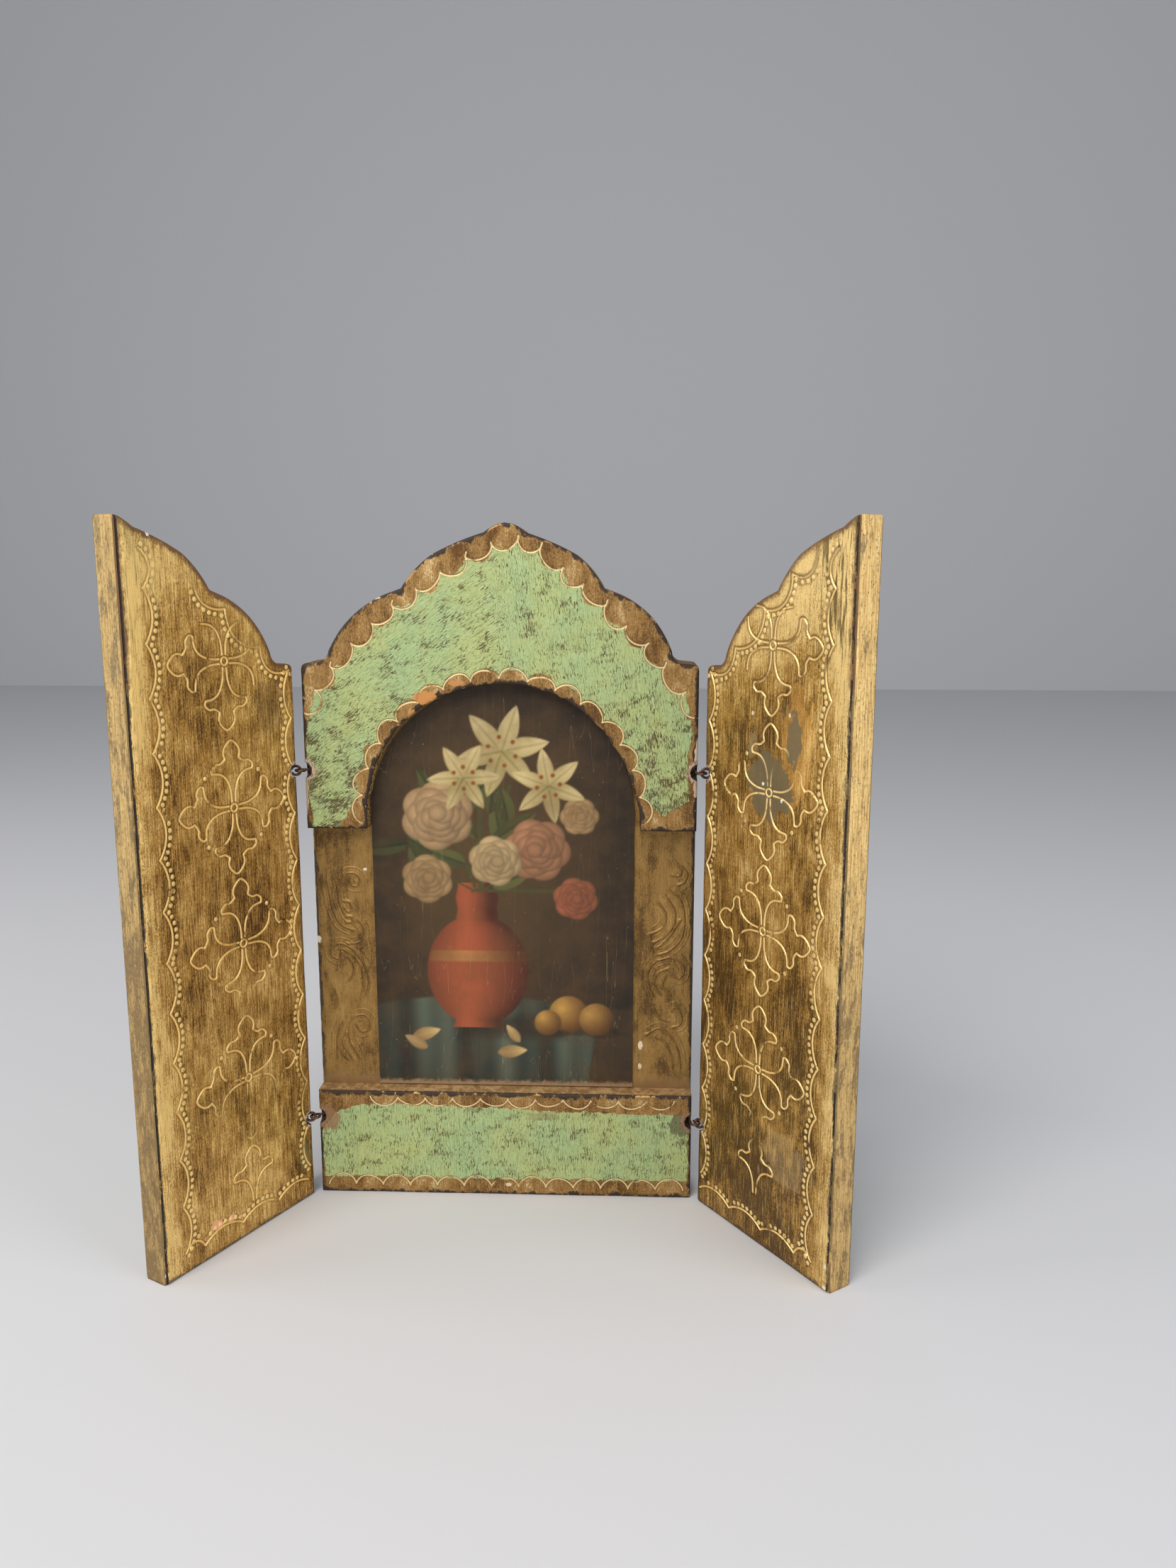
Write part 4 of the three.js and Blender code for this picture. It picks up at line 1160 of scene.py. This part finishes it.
left_flowers = [(21.2, 41.6), (20.5, 76.5), (21.2, 110.6), (21.9, 145.7)]
right_flowers = [(22.9, 46.0), (23.2, 81.4), (24.0, 115.5), (24.0, 149.9)]
left_rubs = [(21.2, 32, 22, 8), (20, 61, 9, 4), (14, 154, 7, 9), (33, 168, 11, 7)]
right_rubs = [(24, 30, 16, 5), (36, 171, 9, 5), (30, 122, 7, 5)]
left_tones = (tint(252, 216, 138), tint(184, 138, 66), tint(94, 62, 22))
right_tones = (tint(252, 220, 150), tint(184, 140, 66), tint(96, 68, 28))
# Tones of the gilt ends: the same gilding painted lighter on the right wing's end, as lit, and darker on
# the left's, as shaded.
left_end_shaded = (tint(166, 134, 78), tint(206, 174, 110), tint(226, 206, 156))
right_end_lit = (tint(190, 146, 78), tint(244, 210, 138), tint(255, 232, 170))
left_patches = [
    (-34.5, 7.6, 2, 1.2, 1, (230, 166, 124)), (-30, 7.2, 1.2, 0.9, 1, (226, 168, 126)),
    (-40.9, 14.6, 0.6, 0.5, 1, (214, 154, 114)), (-4, 12, 1.6, 3.8, 0.6, (112, 112, 70)),
    (-50.1, 2.6, 0.5, 0.5, 1, (232, 220, 196)), (-42.3, 174.4, 0.5, 0.5, 1, (236, 228, 208)),
    (-5.5, 146.5, 1.3, 1.6, 0.8, (78, 52, 30)), (-9, 134, 5, 7, 0.35, (96, 70, 34)),
]
right_patches = [
    (34, 128, 5, 13, 0.3, (230, 168, 80)), (25.5, 117, 7.4, 7.6, 0.92, (104, 90, 62)),
    (33, 128.5, 2.6, 6, 0.92, (108, 94, 66)), (18.6, 133.6, 0.4, 0.5, 1, (220, 210, 186)),
    (31.4, 134.3, 0.35, 0.5, 1, (216, 204, 178)), (29.5, 114.2, 0.35, 0.5, 1, (222, 212, 188)),
    (23, 117.3, 0.5, 0.4, 1, (228, 220, 200)), (19, 126, 1.6, 3, 0.5, (150, 132, 98)),
    (49.3, 1, 0.5, 0.5, 1, (230, 220, 200)), (49.4, 6.4, 0.4, 0.6, 1, (226, 214, 190)),
    (34, 26, 8, 7, 0.25, (190, 166, 122)),
]
left_finish = (left_tones, left_end_shaded, 0.16, -0.04, 0.02, 0.0, left_patches)
right_finish = (right_tones, right_end_lit, 0.5, 0.14, -0.03, 0.07, right_patches)
wings = [
    (-1, "left", 61.3, left_flowers, left_rubs, left_finish),
    (1, "right", 55.2, right_flowers, right_rubs, right_finish),
]
for side, side_name, opening, flower_centres, rubs, finish in wings:
    wing = wing_board(side, side_name, opening, flower_centres, rubs)
    finish_piece(wing, f"wing_{side_name}", f"{side_name}_wing",
                 wing_material(f"tooled_gilding_{side_name}", *finish))

# ---- The wire eyes.
# Four pairs of iron-wire eyes, each bent round and driven into a drilled hole. In each pair the
# panel's eye lies level and the wing's stands upright through it, so together they make a hinge.
wire_radius = 0.35
shank_length = 6.5


def wire_eye(name, turn, centre, shank_angle):
    """An open ring with a shank. It is bent flat along +X, rolled by turn, then swung to its place."""
    around = np.radians(np.linspace(38, 338, 34))
    ring = np.column_stack([
        eye_radius * np.cos(around), eye_radius * np.sin(around), 0.03 * np.sin(3 * around)])
    lead = smooth_line([(shank_length, 0), (4, 0.02), (2.4, 0.0), (1.75, 0.14), (1.35, 0.4)], 0.4)
    path = np.vstack([np.column_stack([lead, np.zeros(len(lead))]), ring])
    curve = bpy.data.curves.new(name, "CURVE")
    curve.dimensions = "3D"
    curve.bevel_depth = wire_radius * MM
    curve.bevel_resolution = 4
    curve.use_fill_caps = True
    line = curve.splines.new("POLY")
    line.points.add(len(path) - 1)
    for point, (x, y, z) in zip(line.points, path):
        point.co = (x * MM, y * MM, z * MM, 1)
        point.radius = 1 + 0.07 * math.sin(9 * x + 5 * y)
    eye = bpy.data.objects.new(name, curve)
    bpy.context.scene.collection.objects.link(eye)
    only(eye)
    bpy.ops.object.convert(target="MESH")
    eye.data.transform(Matrix.Translation(Vector(centre) * MM) @ Matrix.Rotation(shank_angle, 4, "Z")
                       @ Matrix.Rotation(turn, 4, "X"))
    return eye


rusted_wire, shader = new_material("rusted_wire")
place = Signal(put(rusted_wire.node_tree, "ShaderNodeTexCoord").outputs["Object"])
rust = mottle(place, (900, 900, 900), detail=6, roughness=0.7)
drawn = mottle(place, (2600, 2600, 2600), detail=3, shift=4)
base = mixed(fade(rust, 0.35, 0.65), tint(46, 32, 24), tint(112, 78, 52))
base = mixed(fade(drawn, 0.62, 0.72, 0.7), base, tint(176, 140, 98))
feed(shader, {"Base Color": base, "Roughness": rust * 0.45 + 0.35, "Metallic": fade(rust, 0.6, 0.4, 0.8),
              "Normal": bump(rust, 0.12)})

for side, side_name, opening, *_ in wings:
    for level, eye_height in zip(("lower", "upper"), eye_heights):
        axis_point = Vector((side * hinge_out, hinge_y, eye_height))
        into_panel = math.radians(45 if side < 0 else 135)
        centre_eye = wire_eye(f"panel_eye_{side_name}_{level}", 0.0, axis_point, into_panel)
        finish_piece(centre_eye, f"eye_centre_{side_name}_{level}", "centre", rusted_wire)
        into_wing = math.radians((45 if side > 0 else 135) - side * opening)
        offset = Vector((math.cos(into_wing), math.sin(into_wing), 0)) * eye_radius
        side_eye = wire_eye(f"wing_eye_{side_name}_{level}", math.pi / 2, axis_point + offset, into_wing)
        finish_piece(side_eye, f"eye_wing_{side_name}_{level}", f"{side_name}_wing", rusted_wire)

# ---- The studio.
# A pale floor that runs up behind, broad soft lights from above and both sides, and the camera.
pale_floor, shader = new_material("pale_floor")
shader["Base Color"].default_value = tint(205, 205, 208)
shader["Roughness"].default_value = 0.85
bpy.ops.mesh.primitive_plane_add(size=2.4, location=(0, 0.2, 0))
floor = bpy.context.active_object
floor.name = "studio_floor"
floor.data.materials.append(pale_floor)
only(floor)
bpy.ops.object.mode_set(mode="EDIT")
bpy.ops.mesh.select_all(action="DESELECT")
bpy.ops.object.mode_set(mode="OBJECT")
for edge in floor.data.edges:
    edge.select = all(floor.data.vertices[v].co.y > 0.5 for v in edge.vertices)
bpy.ops.object.mode_set(mode="EDIT")
bpy.ops.mesh.select_mode(type="EDGE")
bpy.ops.mesh.extrude_region_move(TRANSFORM_OT_translate={"value": (0, 0.1, 1.6)})
bpy.ops.object.mode_set(mode="OBJECT")


def area_light(name, place, aim, size, power, shade):
    light = bpy.data.lights.new(name, "AREA")
    light.shape = "RECTANGLE"
    light.size, light.size_y = size
    light.energy = power
    light.color = shade
    lamp = bpy.data.objects.new(name, light)
    lamp.location = place
    lamp.rotation_euler = (Vector(aim) - Vector(place)).to_track_quat("-Z", "Y").to_euler()
    bpy.context.scene.collection.objects.link(lamp)


area_light("key_light", (-0.28, -0.6, 0.75), (0, 0, 0.08), (0.6, 0.5), 7.5, (1, 0.98, 0.94))
area_light("fill_light", (0.75, -0.45, 0.35), (0, 0, 0.09), (0.5, 0.7), 3.2, (0.95, 0.97, 1))
area_light("left_light", (-0.8, -0.1, 0.3), (0, 0, 0.09), (0.4, 0.7), 2.0, (1, 0.99, 0.96))
world = bpy.data.worlds.new("soft_room")
world.use_nodes = True
background = world.node_tree.nodes["Background"].inputs
background["Color"].default_value = (0.8, 0.82, 0.86, 1)
background["Strength"].default_value = 0.45
bpy.context.scene.world = world
bpy.context.scene.view_settings.view_transform = "Standard"

camera_data = bpy.data.cameras.new("camera")
camera_data.sensor_width = 36
camera_data.lens = 26.9
camera = bpy.data.objects.new("camera", camera_data)
camera.location = (0.03276, -0.29824, 0.16642)
heading, tilt, roll = math.radians(2.04), math.radians(-10.27), math.radians(-0.07)
camera.rotation_euler = (Matrix.Rotation(heading, 3, "Z") @ Matrix.Rotation(tilt, 3, "X")
                         @ Matrix.Rotation(roll, 3, "Y") @ Matrix.Rotation(math.pi / 2, 3, "X")).to_euler()
bpy.context.scene.collection.objects.link(camera)
bpy.context.scene.camera = camera
